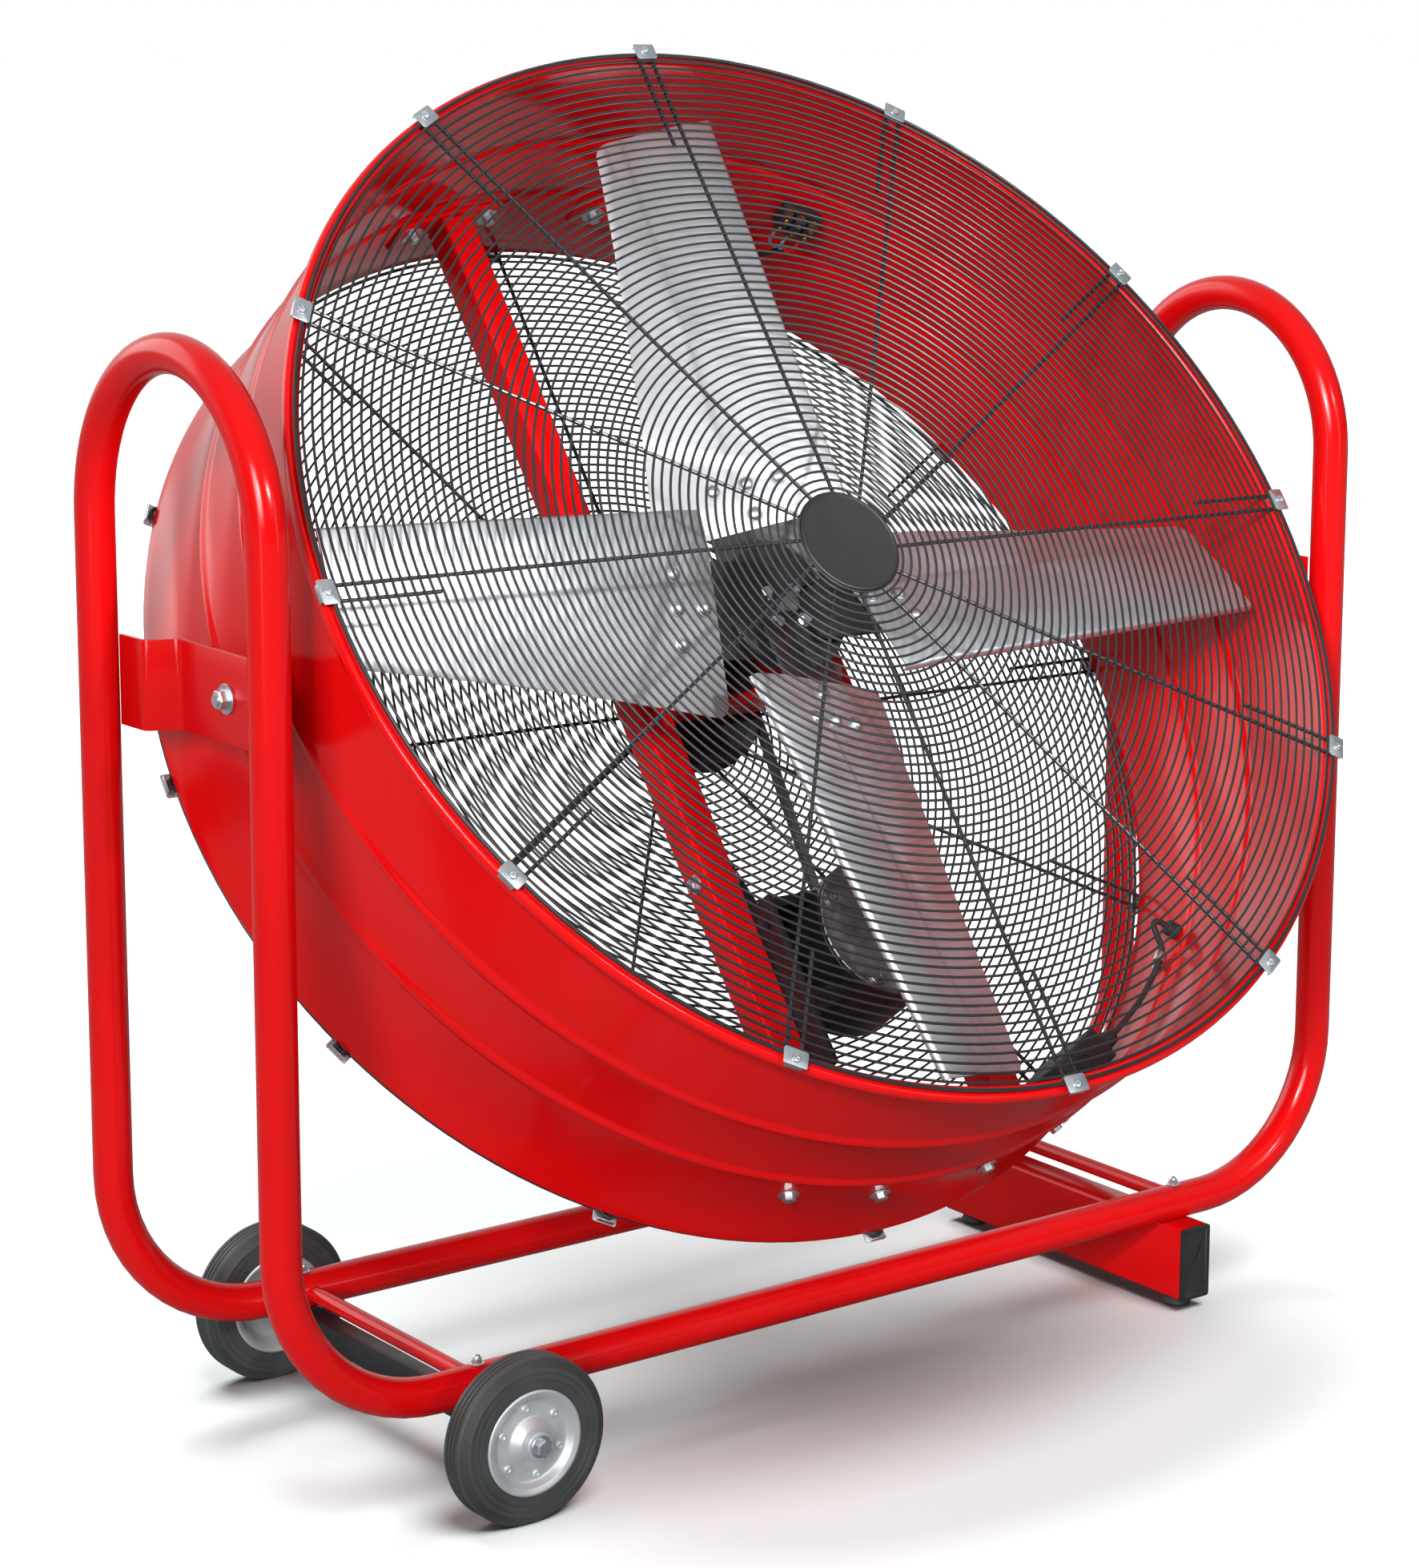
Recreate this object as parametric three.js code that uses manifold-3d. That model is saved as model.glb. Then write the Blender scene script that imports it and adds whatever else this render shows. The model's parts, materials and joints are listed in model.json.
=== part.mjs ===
// A large belt-driven drum fan on a tubular stand with two wheels.
// The sheet-metal drum hangs between two tube hoops and tilts on two side bolts. A four-blade
// propeller turns in it, driven by a motor through a V-belt.
//
// Millimetres, +Z up. The stand sits on z = 0 with the middle of the fan over the origin, X runs
// from the wheel end (-X) to the foot end (+X), and the air leaves towards -Y. The drum is
// modelled in its own group, whose Y axis is the fan's axis, and the group is tilted at the end.

import * as THREE from 'three';
import { mergeVertices } from 'three/addons/utils/BufferGeometryUtils.js';
import Module from 'manifold-3d';

const wasm = await Module();
wasm.setup();

// ---------------------------------------------------------------- driving dimensions
const GAP = 0.3; // left between two pieces that touch

const TUBE_R = 21.1; // stand tube, 42.2 mm outside
const TUBE_BORE = 18.5;
const LEG_X = 725; // centre of the side hoops
const RAIL_Y = 179; // centre of the front and rear legs and rails
const RAIL_Z = 125.6; // centre of the base rails
const BEND_R = 180; // corner between a rail and a leg
const ARCH_Z = 1020.5; // centre of the half-round top of a hoop

const WHEEL_X = -491;
const WHEEL_R = 90;
const WHEEL_Y = 261; // middle of the tread
const AXLE_SIDE = 26; // square axle bar under the rails
const FOOT_X = 496.5;
const FOOT_H = 14; // rubber foot under the beam
const FOOT_BEAM = { width: 45, height: 90, wall: 3, half: 217 };
const BASE_BOLT_X = 496;
const CROSS_TUBE = { radius: 9, wall: 2, left: -493, right: 508 }; // thin tubes between the rails

const PIVOT_Z = 845; // tilt axis
const TILT = THREE.MathUtils.degToRad(37.15); // front raised

const DRUM_R = 640; // outside of the shell
const SHEET = 2; // shell thickness
const DRUM_HALF = 201; // half the drum's length
const BEADS = [-51, 55]; // stiffening beads rolled into the shell
const BEAD = { half: 12, height: 4 };
const LIP = { radius: 655, depth: 15 }; // rolled front edge

const SPOKES = 12; // in each grille
const GRILLE = { first: 66, last: 645, rings: 7, wire: 5, tab: 664, tabHalf: 13 };

const BEAM_X = [-120, 142]; // the two upright beams inside the drum
const BEAM = { side: 42, wall: 2.5, front: 72 };
const CROSS_HALF = 44; // half height of the member that carries the bearings

const SHAFT_R = 12.5;
const BLADES = 4;
const BLADE = { root: 98, tip: 598, sheet: 2.5, pitch: 0.4, cone: 0.077, start: -60.8 };
const HUB = { radius: 78, boss: 38, front: -63, rear: -14, arm: 5 }; // spider, behind the blades
const PULLEY_Y = 163; // middle plane of the belt
const FAN_PULLEY_R = 88;
const MOTOR_PULLEY_R = 34;
const BELT = { width: 10, thick: 9 };
const MOTOR = { x: 29, z: -361, radius: 84, front: 26, rear: 148 };
const MOTOR_SHAFT_R = 9.5;

// ---------------------------------------------------------------- finishes
const finish = (color, roughness, metalness) =>
  new THREE.MeshStandardMaterial({ color, roughness, metalness });
const redEnamel = () => finish(0xd20f0b, 0.35, 0);
const blackPaint = () => finish(0x1c1c1e, 0.5, 0);
const darkWire = () => finish(0x2c2c30, 0.45, 0);
const zinc = () => finish(0xb4bcc4, 0.3, 1);
const aluminium = () => finish(0xc2c4c6, 0.35, 1);
const blackRubber = () => finish(0x232326, 0.8, 0);
const blackPlastic = () => finish(0x1a1a1c, 0.6, 0);

// ---------------------------------------------------------------- tools for shaping
const polar = (radius, angle) =>
  new THREE.Vector2(radius * Math.cos(angle), radius * Math.sin(angle));
const outline = (pairs) => new THREE.Shape(pairs.map(([x, y]) => new THREE.Vector2(x, y)));

/** A polygon of equal sides, as a list of points. */
function circlePoints(radius, sides, start = 0) {
  const step = (2 * Math.PI) / sides;
  return Array.from({ length: sides }, (_, i) => polar(radius, start + i * step));
}

/** A solid turned about the Y axis. The profile is a list of [radius, y], counter-clockwise. */
function turned(profile, segments = 16) {
  const points = profile.map(([radius, y]) => new THREE.Vector2(radius, y));
  const onAxis = profile[0][0] === 0 && profile.at(-1)[0] === 0;
  if (!onAxis) points.push(points[0].clone());
  return new THREE.LatheGeometry(points, segments);
}

/** A ring turned about the Y axis, of rectangular section. */
const ring = (inner, outer, low, high, segments = 16) =>
  turned([[inner, low], [outer, low], [outer, high], [inner, high]], segments);

/** A plain extrusion of a shape along +Z. */
const extruded = (shape, depth) =>
  new THREE.ExtrudeGeometry(shape, { depth, bevelEnabled: false, curveSegments: 8 });

/** A rectangle centred on the origin, with an open middle when a wall is given. */
function rectangle(width, height, wall = 0) {
  const corners = (w, h) => outline([[-w, -h], [w, -h], [w, h], [-w, h]]);
  const shape = corners(width / 2, height / 2);
  if (wall > 0) shape.holes.push(corners(width / 2 - wall, height / 2 - wall));
  return shape;
}

/** A block between two corners. */
function block(low, high) {
  const size = high.map((value, i) => value - low[i]);
  const box = new THREE.BoxGeometry(...size);
  return box.translate(...low.map((value, i) => value + size[i] / 2));
}

/** A closed geometry as a solid that can be cut and joined. */
function solid(geometry) {
  const bare = geometry.clone();
  bare.deleteAttribute('normal');
  bare.deleteAttribute('uv');
  const closed = mergeVertices(bare, 1e-3);
  const vertProperties = Float32Array.from(closed.attributes.position.array);
  const triVerts = Uint32Array.from(closed.index.array);
  return new wasm.Manifold(new wasm.Mesh({ numProp: 3, vertProperties, triVerts }));
}

/** A cut or joined solid as a geometry again. */
function geometryOf(shape) {
  const { numProp, vertProperties, triVerts } = shape.getMesh();
  const positions = [];
  for (let i = 0; i < vertProperties.length; i += numProp) {
    positions.push(vertProperties[i], vertProperties[i + 1], vertProperties[i + 2]);
  }
  const geometry = new THREE.BufferGeometry();
  geometry.setAttribute('position', new THREE.Float32BufferAttribute(positions, 3));
  geometry.setIndex(Array.from(triVerts));
  return geometry;
}

const joined = (...parts) =>
  geometryOf(parts.map(solid).reduce((whole, next) => whole.add(next)));
const cut = (body, ...tools) =>
  geometryOf(tools.map(solid).reduce((rest, tool) => rest.subtract(tool), solid(body)));

/** A path through given points with given directions, so that straights need no extra steps. */
class StopPath extends THREE.Curve {
  constructor(stops) {
    super();
    this.stops = stops;
  }
  at(t) {
    return this.stops[Math.round(t * (this.stops.length - 1))];
  }
  getUtoTmapping(u) {
    return u;
  }
  getPoint(t) {
    return this.at(t).point.clone();
  }
  getTangent(t) {
    return this.at(t).direction.clone();
  }
}

/** Stops on an arc from `start` to `end`, in the plane of the two unit axes. */
function arcStops(centre, axisA, axisB, radius, start, end, steps) {
  const turn = Math.sign(end - start);
  const mix = (a, b) => axisA.clone().multiplyScalar(a).addScaledVector(axisB, b);
  return Array.from({ length: steps + 1 }, (_, i) => {
    const angle = start + ((end - start) * i) / steps;
    return {
      point: mix(Math.cos(angle), Math.sin(angle)).multiplyScalar(radius).add(centre),
      direction: mix(-Math.sin(angle), Math.cos(angle)).multiplyScalar(turn),
    };
  });
}

/** A section swept along a path with one step between every two stops. */
function swept(section, path, steps) {
  const options = { extrudePath: path, steps, bevelEnabled: false, curveSegments: 2 };
  return new THREE.ExtrudeGeometry(section, options);
}

/** A round solid cable along a smooth curve through hand-placed points. */
function cable(points, radius, steps) {
  const curve = new THREE.CatmullRomCurve3(points.map((p) => new THREE.Vector3(...p)));
  return swept(new THREE.Shape(circlePoints(radius, 8)), curve, steps);
}

/** A bolt along +Y with the underside of its washer at y = 0. */
function bolt({ shank, length, head, headHeight, washer, washerHeight }) {
  const top = washerHeight + headHeight;
  return turned([
    [0, -length], [shank, -length], [shank, 0], [washer, 0], [washer, washerHeight],
    [head, washerHeight], [head, top], [0, top],
  ], 8);
}

function piece(parent, name, geometry, material) {
  const mesh = new THREE.Mesh(geometry, material);
  mesh.name = name;
  parent.add(mesh);
  return mesh;
}

const upright = (mesh) => mesh.rotateX(Math.PI / 2); // a turned solid's axis goes from +Y to +Z
const sideways = (mesh, side) => mesh.rotateZ((-side * Math.PI) / 2); // from +Y to +X or -X

const fan = new THREE.Group();
const stand = new THREE.Group();
const drum = new THREE.Group();
fan.add(stand, drum);

// ---------------------------------------------------------------- the stand
/** Half of the stand: rail, corner, leg, half-round top and back again, in one bent tube. */
function hoopPath(side) {
  const x = new THREE.Vector3(side, 0, 0);
  const y = new THREE.Vector3(0, 1, 0);
  const z = new THREE.Vector3(0, 0, 1);
  const cornerX = side * (LEG_X - BEND_R);
  const cornerZ = RAIL_Z + BEND_R;
  const quarter = Math.PI / 2;
  const railEnd = (sideY, outward) => ({
    point: new THREE.Vector3(side * GAP, sideY * RAIL_Y, RAIL_Z),
    direction: x.clone().multiplyScalar(outward),
  });
  const corner = (sideY) => new THREE.Vector3(cornerX, sideY * RAIL_Y, cornerZ);
  return new StopPath([
    railEnd(-1, 1),
    ...arcStops(corner(-1), x, z, BEND_R, -quarter, 0, 5),
    ...arcStops(new THREE.Vector3(side * LEG_X, 0, ARCH_Z), y, z, RAIL_Y, 2 * quarter, 0, 10),
    ...arcStops(corner(1), x, z, BEND_R, 0, -quarter, 5),
    railEnd(1, -1),
  ]);
}

function buildHoops() {
  const section = new THREE.Shape(circlePoints(TUBE_R, 12));
  section.holes.push(new THREE.Path(circlePoints(TUBE_BORE, 6)));
  const drill = ring(0, 5, -40, 40, 12).rotateX(Math.PI / 2);
  for (const [name, side] of [['left_frame_tube', -1], ['right_frame_tube', 1]]) {
    const path = hoopPath(side);
    const boltHole = (sideY) =>
      drill.clone().translate(side * BASE_BOLT_X, sideY * RAIL_Y, RAIL_Z);
    const tube = swept(section, path, path.stops.length - 1);
    piece(stand, name, cut(tube, boltHole(-1), boltHole(1)), redEnamel());
  }
}

function buildCrossTubes() {
  const half = RAIL_Y - TUBE_R - GAP;
  const { radius, wall } = CROSS_TUBE;
  for (const word of ['left', 'right']) {
    const tube = ring(radius - wall, radius, -half, half, 12);
    piece(stand, `cross_tube_${word}`, tube, redEnamel()).position.set(CROSS_TUBE[word], 0, RAIL_Z);
  }
}

function buildBaseBolts() {
  const size = { shank: 4.3, length: 52, head: 8, headHeight: 9, washer: 10, washerHeight: 1.5 };
  for (const [end, x] of [['axle', -BASE_BOLT_X], ['foot', BASE_BOLT_X]]) {
    for (const [row, y] of [['front', -RAIL_Y], ['rear', RAIL_Y]]) {
      const mesh = upright(piece(stand, `${end}_bolt_${row}`, bolt(size), zinc()));
      mesh.position.set(x, y, RAIL_Z + TUBE_R + GAP);
    }
  }
}

function buildFootBeam() {
  const { width, height, wall, half } = FOOT_BEAM;
  const middle = FOOT_H + GAP + height / 2;
  const tube = extruded(rectangle(width, height, wall), 2 * half).rotateX(Math.PI / 2);
  tube.translate(FOOT_X, half, middle);
  const boltHole = (y) => ring(0, 5, -20, 20, 12).rotateX(Math.PI / 2)
    .translate(BASE_BOLT_X, y, middle + height / 2);
  piece(stand, 'foot_beam', cut(tube, boltHole(-RAIL_Y), boltHole(RAIL_Y)), redEnamel());

  for (const [row, side] of [['front', -1], ['rear', 1]]) {
    const plug = block([-width / 2, 0, -height / 2], [width / 2, 4, height / 2]);
    const tongue = block([-width / 2 + wall + 0.5, -14, -height / 2 + wall + 0.5],
      [width / 2 - wall - 0.5, 0.5, height / 2 - wall - 0.5]);
    const cap = piece(stand, `beam_cap_${row}`, joined(plug, tongue), blackPlastic());
    if (side < 0) cap.rotateZ(Math.PI);
    cap.position.set(FOOT_X, side * (half + GAP), middle);

    const rubber = turned([[0, 0], [15, 0], [17, 3], [14, FOOT_H], [0, FOOT_H]], 16);
    upright(piece(stand, `rubber_foot_${row}`, rubber, blackRubber())).position.set(FOOT_X, side * 190, 0);
  }
}

function buildAxle() {
  const half = 236;
  const bar = extruded(rectangle(AXLE_SIDE, AXLE_SIDE), 2 * half);
  bar.rotateX(Math.PI / 2).translate(0, half, 0);
  const endBore = (side) => ring(0, 6.6, -60, 60, 12).translate(0, side * half, 0);
  const topBore = (side) => ring(0, 5, 0, 40, 12).rotateX(Math.PI / 2)
    .translate(-BASE_BOLT_X - WHEEL_X, side * RAIL_Y, -2);
  const geometry = cut(bar, endBore(-1), endBore(1), topBore(-1), topBore(1));
  piece(stand, 'axle_bar', geometry, blackPaint()).position.set(WHEEL_X, 0, WHEEL_R);
}

/** One wheel, its zinc rim and the bolt that it turns on. The wheel's axis is Y. */
function buildWheel(row, side) {
  const wheel = new THREE.Group();
  wheel.position.set(WHEEL_X, 0, WHEEL_R);
  if (side > 0) wheel.rotateZ(Math.PI); // the far wheel is the near one turned about
  stand.add(wheel);
  const middle = -WHEEL_Y;
  const tyre = turned([
    [58.4, middle - 14], [64, middle - 19.6], [80, middle - 19.6], [WHEEL_R, middle - 11.4],
    [WHEEL_R, middle + 11.4], [80, middle + 19.6], [64, middle + 19.6], [58.4, middle + 14],
  ], 32);
  piece(wheel, `tyre_${row}`, tyre, blackRubber());
  const rim = turned([
    [6.9, -291], [14, -291], [17, -283], [30, -281], [44, -274], [55, -281.5], [61, -281.5],
    [57.6, -276], [57.6, -246], [61, -240.5], [55, -240.5], [42, -262], [14, -262], [14, -243], [6.9, -243],
  ], 16);
  piece(wheel, `rim_${row}`, rim, zinc());
  const size = { shank: 6.2, length: 90, head: 9, headHeight: 7, washer: 12, washerHeight: 2 };
  const axleBolt = piece(wheel, `wheel_bolt_${row}`, bolt(size), zinc());
  axleBolt.rotateX(Math.PI);
  axleBolt.position.y = -291 - GAP;
}

/** The bent strip between two legs that the drum hangs on. */
function buildBracket(name, side) {
  const thick = 5;
  const height = 96;
  const halves = [[708, 165.5], [708, 113], [673, 99]];
  const outer = [...halves, ...halves.map(([x, y]) => [x, -y]).reverse()];
  const inner = outer.map(([x, y]) => [x - thick, y]).reverse();
  const strip = outline([...outer, ...inner].map(([x, y]) => [side * x, y]));
  const plate = extruded(strip, height).translate(0, 0, PIVOT_Z - height / 2);
  const bore = ring(0, 9, 600, 750, 12).rotateZ((-side * Math.PI) / 2).translate(0, 0, PIVOT_Z);
  piece(stand, name, cut(plate, bore), redEnamel());
}

function buildPivot(word, side) {
  const faceX = 673 + GAP;
  const size = { shank: 8, length: 32, head: 11, headHeight: 10, washer: 16, washerHeight: 3 };
  const pin = sideways(piece(stand, `pivot_bolt_${word}`, bolt(size), zinc()), side);
  pin.position.set(side * faceX, 0, PIVOT_Z);
}

// ---------------------------------------------------------------- the drum
/** The shell's wall, `inset` inside its outer face, with its two beads. */
function wallPoints(inset) {
  const radius = DRUM_R - inset;
  return BEADS.flatMap((y) => [
    [radius, y - BEAD.half], [radius + BEAD.height, y], [radius, y + BEAD.half],
  ]);
}

function buildShell() {
  const front = -DRUM_HALF;
  const rear = DRUM_HALF;
  const outer = [
    [DRUM_R, front], [LIP.radius - 3, front], [LIP.radius, front + 4], [LIP.radius, front + LIP.depth - 4],
    [LIP.radius - 3, front + LIP.depth], [DRUM_R, front + LIP.depth + 1],
    ...wallPoints(0),
    [DRUM_R, rear - 36], [DRUM_R + 8, rear - 14], [DRUM_R + 10, rear],
  ];
  const inner = [
    [DRUM_R + 10 - SHEET, rear], [DRUM_R + 8 - SHEET, rear - 14], [DRUM_R - SHEET, rear - 36],
    ...wallPoints(SHEET).reverse(),
    [DRUM_R - SHEET, front + 2],
  ];
  const shell = turned([...outer, ...inner], 48);
  const hole = ring(0, 8, DRUM_R - 40, DRUM_R + 40, 12).rotateX(Math.PI / 2);
  const cableHole = hole.rotateY(GROMMET_ANGLE).translate(0, GROMMET_Y, 0);
  piece(drum, 'drum_shell', cut(shell, cableHole), redEnamel());
}

const SPOKE_PITCH = (2 * Math.PI) / SPOKES;

/** Rim of a grille: a round wire with a tab at each spoke, where a clip holds it. */
function grilleRim() {
  const rim = GRILLE.last + GRILLE.wire / 2;
  const tab = Math.asin(GRILLE.tabHalf / GRILLE.tab);
  const corners = [
    [rim, -tab], [GRILLE.tab, -tab], [GRILLE.tab, tab], [rim, tab],
    [rim, SPOKE_PITCH / 3], [rim, (2 * SPOKE_PITCH) / 3],
  ];
  const spokes = Array.from({ length: SPOKES }, (_, i) => i * SPOKE_PITCH);
  return spokes.flatMap((spoke) => corners.map(([radius, angle]) => polar(radius, spoke + angle)));
}

/** A flat grille: its rim less the gaps between the wires. */
function grilleShape() {
  const half = GRILLE.wire / 2;
  const shape = new THREE.Shape(grilleRim());
  const step = (GRILLE.last - GRILLE.first) / (GRILLE.rings - 1);
  for (let j = 0; j < GRILLE.rings - 1; j += 1) {
    const low = GRILLE.first + j * step + half;
    const high = GRILLE.first + (j + 1) * step - half;
    for (let i = 0; i < SPOKES; i += 1) {
      shape.holes.push(new THREE.Path(gapPoints(i * SPOKE_PITCH, low, high)));
    }
  }
  shape.holes.push(new THREE.Path(circlePoints(GRILLE.first - half, SPOKES)));
  return shape;
}

/** One gap between two spokes and two rings. A long stretch of ring has two straight pieces. */
function gapPoints(spoke, low, high) {
  const parts = low > GRILLE.last / 2 ? 2 : 1;
  const arc = (radius) => {
    const start = spoke + Math.asin(GRILLE.wire / 2 / radius);
    const span = SPOKE_PITCH - 2 * (start - spoke);
    return Array.from({ length: parts + 1 }, (_, i) => polar(radius, start + (span * i) / parts));
  };
  return [...arc(low), ...arc(high).reverse()];
}

function buildGrilles() {
  const faces = { front: -DRUM_HALF - GAP, rear: DRUM_HALF + GAP + GRILLE.wire };
  for (const [word, face] of Object.entries(faces)) {
    const plate = extruded(grilleShape(), GRILLE.wire).rotateX(Math.PI / 2);
    piece(drum, `${word}_grille`, plate, darkWire()).position.y = face;
  }
  const badgeFace = -DRUM_HALF - GRILLE.wire - 2 * GAP;
  const badge = turned([[0, -3.5], [61, -3.5], [61, 0], [0, 0]], 24);
  piece(drum, 'centre_badge', badge, blackPaint()).position.y = badgeFace;
}

/** An upright box-section beam with a curved foot plate at each end, bolted to the shell. */
function buildBeam(word, x) {
  const { side, wall, front } = BEAM;
  const plateOut = DRUM_R - SHEET - 1.9; // the plate clears the flats of the many-sided shell
  const plateIn = plateOut - 4;
  const reach = Math.sqrt(plateIn ** 2 - (Math.abs(x) + side / 2) ** 2) - GAP;
  const tube = extruded(rectangle(side, side, wall), 2 * reach);
  piece(drum, `beam_${word}`, tube, redEnamel()).position.set(x, front + side / 2, -reach);

  for (const [end, sign] of [['top', 1], ['bottom', -1]]) {
    const middle = Math.atan2(sign * reach, x);
    const spread = 84 / DRUM_R;
    const arc = (radius) => Array.from({ length: 7 }, (_, i) =>
      polar(radius, middle + spread * (i / 3 - 1)));
    const strip = new THREE.Shape([...arc(plateOut), ...arc(plateIn).reverse()]);
    const plate = extruded(strip, side).rotateX(Math.PI / 2);
    piece(drum, `beam_foot_${word}_${end}`, plate, redEnamel()).position.y = front + side;
  }
}

/** The member between the beams, with a bearing on each side of it. */
function buildCrossMember() {
  const [left, right] = BEAM_X;
  const low = left + BEAM.side / 2 + GAP;
  const high = right - BEAM.side / 2 - GAP;
  const middleY = BEAM.front + BEAM.side / 2;
  const tube = extruded(rectangle(BEAM.side, 2 * CROSS_HALF, 3), high - low);
  tube.rotateX(Math.PI / 2).rotateZ(Math.PI / 2).translate(low, middleY, 0);
  const bore = ring(0, 16, 0, 200, 16);
  piece(drum, 'cross_member', cut(tube, bore), redEnamel());
  const housing = () => turned([[13.4, 0], [38, 0], [38, 9], [27, 9], [27, 20], [13.4, 20]], 16);
  piece(drum, 'bearing_rear', housing(), blackPaint()).position.y = BEAM.front + BEAM.side + GAP;
  const frontBearing = piece(drum, 'bearing_front', housing(), blackPaint());
  frontBearing.rotateX(Math.PI);
  frontBearing.position.y = BEAM.front - GAP;
}

function buildSpacers() {
  for (const [word, side] of [['left', -1], ['right', 1]]) {
    const tube = ring(9, 20, DRUM_R + 0.4, 668 - GAP, 16);
    sideways(piece(drum, `pivot_spacer_${word}`, tube, redEnamel()), side);
  }
}

// ---------------------------------------------------------------- what turns in the drum
/** Places a flat blade outline in the air: span outwards, chord clockwise seen from the front. */
function bladeFrame(angle) {
  const outward = new THREE.Vector3(Math.sin(angle), 0, Math.cos(angle));
  const clockwise = new THREE.Vector3(Math.cos(angle), 0, -Math.sin(angle));
  const span = outward.clone().add(new THREE.Vector3(0, -BLADE.cone, 0)).normalize();
  const chord = clockwise.clone().add(new THREE.Vector3(0, -BLADE.pitch, 0)).normalize();
  const normal = new THREE.Vector3().crossVectors(span, chord).normalize();
  const across = new THREE.Vector3().crossVectors(normal, span);
  return new THREE.Matrix4().makeBasis(span, across, normal).setPosition(0, BLADE.start, 0);
}

function place(mesh, matrix) {
  matrix.decompose(mesh.position, mesh.quaternion, mesh.scale);
  return mesh;
}

/** A pitched blade of sheet aluminium, with its straight trailing edge folded over. */
function bladeGeometry() {
  const { root, tip, sheet } = BLADE;
  const trailing = 116; // from the blade's centre line
  const edge = new THREE.Shape();
  edge.moveTo(root, trailing);
  edge.lineTo(root, -100);
  edge.absarc(root + 16, -100, 16, Math.PI, 1.5 * Math.PI, false);
  edge.quadraticCurveTo(root + 260, -62, tip - 24, -32);
  edge.quadraticCurveTo(tip, -32, tip, -8);
  edge.lineTo(tip + 4, trailing);
  edge.closePath();
  const sheetMetal = extruded(edge, sheet).translate(0, 0, -sheet / 2);
  const fold = block([root + 2, trailing - sheet, -sheet / 2], [tip + 2, trailing, 8]);
  return joined(sheetMetal, fold);
}

/** One arm of the spider: a flat strip against the back of a blade's root. */
function spiderArm(angle) {
  const strip = extruded(outline([[20, -54], [172, -52], [172, 62], [20, 54]]), HUB.arm);
  strip.translate(0, 0, BLADE.sheet / 2 + GAP);
  return strip.applyMatrix4(bladeFrame(angle));
}

function buildPropeller() {
  const angles = Array.from({ length: BLADES }, (_, i) => (i * 2 * Math.PI) / BLADES);
  angles.forEach((angle, i) => {
    const blade = piece(drum, `blade_${i + 1}`, bladeGeometry(), aluminium());
    place(blade, bladeFrame(angle));
  });
  const plate = turned([
    [0, HUB.front], [HUB.radius, HUB.front], [HUB.radius, HUB.front + 13],
    [HUB.boss, HUB.front + 15], [HUB.boss, HUB.rear], [0, HUB.rear],
  ]);
  const bore = ring(0, SHAFT_R + 0.5, -120, 60);
  const spider = cut(joined(plate, ...angles.map(spiderArm)), bore);
  piece(drum, 'spider', spider, blackPaint());
  const shaft = turned([[0, -76], [SHAFT_R, -76], [SHAFT_R, 182], [0, 182]]);
  piece(drum, 'fan_shaft', shaft, zinc());
}

/** A V-belt pulley about the Y axis, with its groove at y = 0. */
function pulley(radius, bore, hub, segments) {
  const half = 12;
  const floor = radius - BELT.thick - 1.5;
  const web = hub + 0.5 * (floor - 3 - hub);
  return turned([
    [bore, -half], [hub, -half], [hub, -4], [web, -4], [floor - 3, -half], [radius + 1, -half],
    [floor, -BELT.width / 2 - 1], [floor, BELT.width / 2 + 1], [radius + 1, half],
    [floor - 3, half], [web, 4], [hub, 4], [hub, half], [bore, half],
  ], segments);
}

function buildDrive() {
  const fanPulley = pulley(FAN_PULLEY_R, SHAFT_R + 0.5, 26, 20);
  piece(drum, 'fan_pulley', fanPulley, blackPaint()).position.y = PULLEY_Y;
  const motorPulley = pulley(MOTOR_PULLEY_R, MOTOR_SHAFT_R + 0.5, 15, 12);
  piece(drum, 'motor_pulley', motorPulley, blackPaint()).position.set(MOTOR.x, PULLEY_Y, MOTOR.z);
  buildBelt();
}

/** The belt: a band round both pulleys, as an outline less its inside. */
function buildBelt() {
  const distance = Math.hypot(MOTOR.x, MOTOR.z);
  const heading = Math.atan2(MOTOR.z, MOTOR.x);
  const steps = 12;
  const loop = (offset) => {
    const large = FAN_PULLEY_R + 0.5 + offset;
    const small = MOTOR_PULLEY_R + 0.5 + offset;
    const wrap = Math.acos((large - small) / distance);
    const arc = (radius, shift, from, to) => Array.from({ length: steps + 1 }, (_, i) =>
      polar(radius, heading + from + ((to - from) * i) / steps).add(polar(shift, heading)));
    return [...arc(large, 0, wrap, 2 * Math.PI - wrap), ...arc(small, distance, -wrap, wrap)];
  };
  const band = new THREE.Shape(loop(0));
  band.holes.push(new THREE.Path(loop(-BELT.thick)));
  const belt = extruded(band, BELT.width).rotateX(Math.PI / 2);
  piece(drum, 'drive_belt', belt, blackRubber()).position.y = PULLEY_Y + BELT.width / 2;
}

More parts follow.
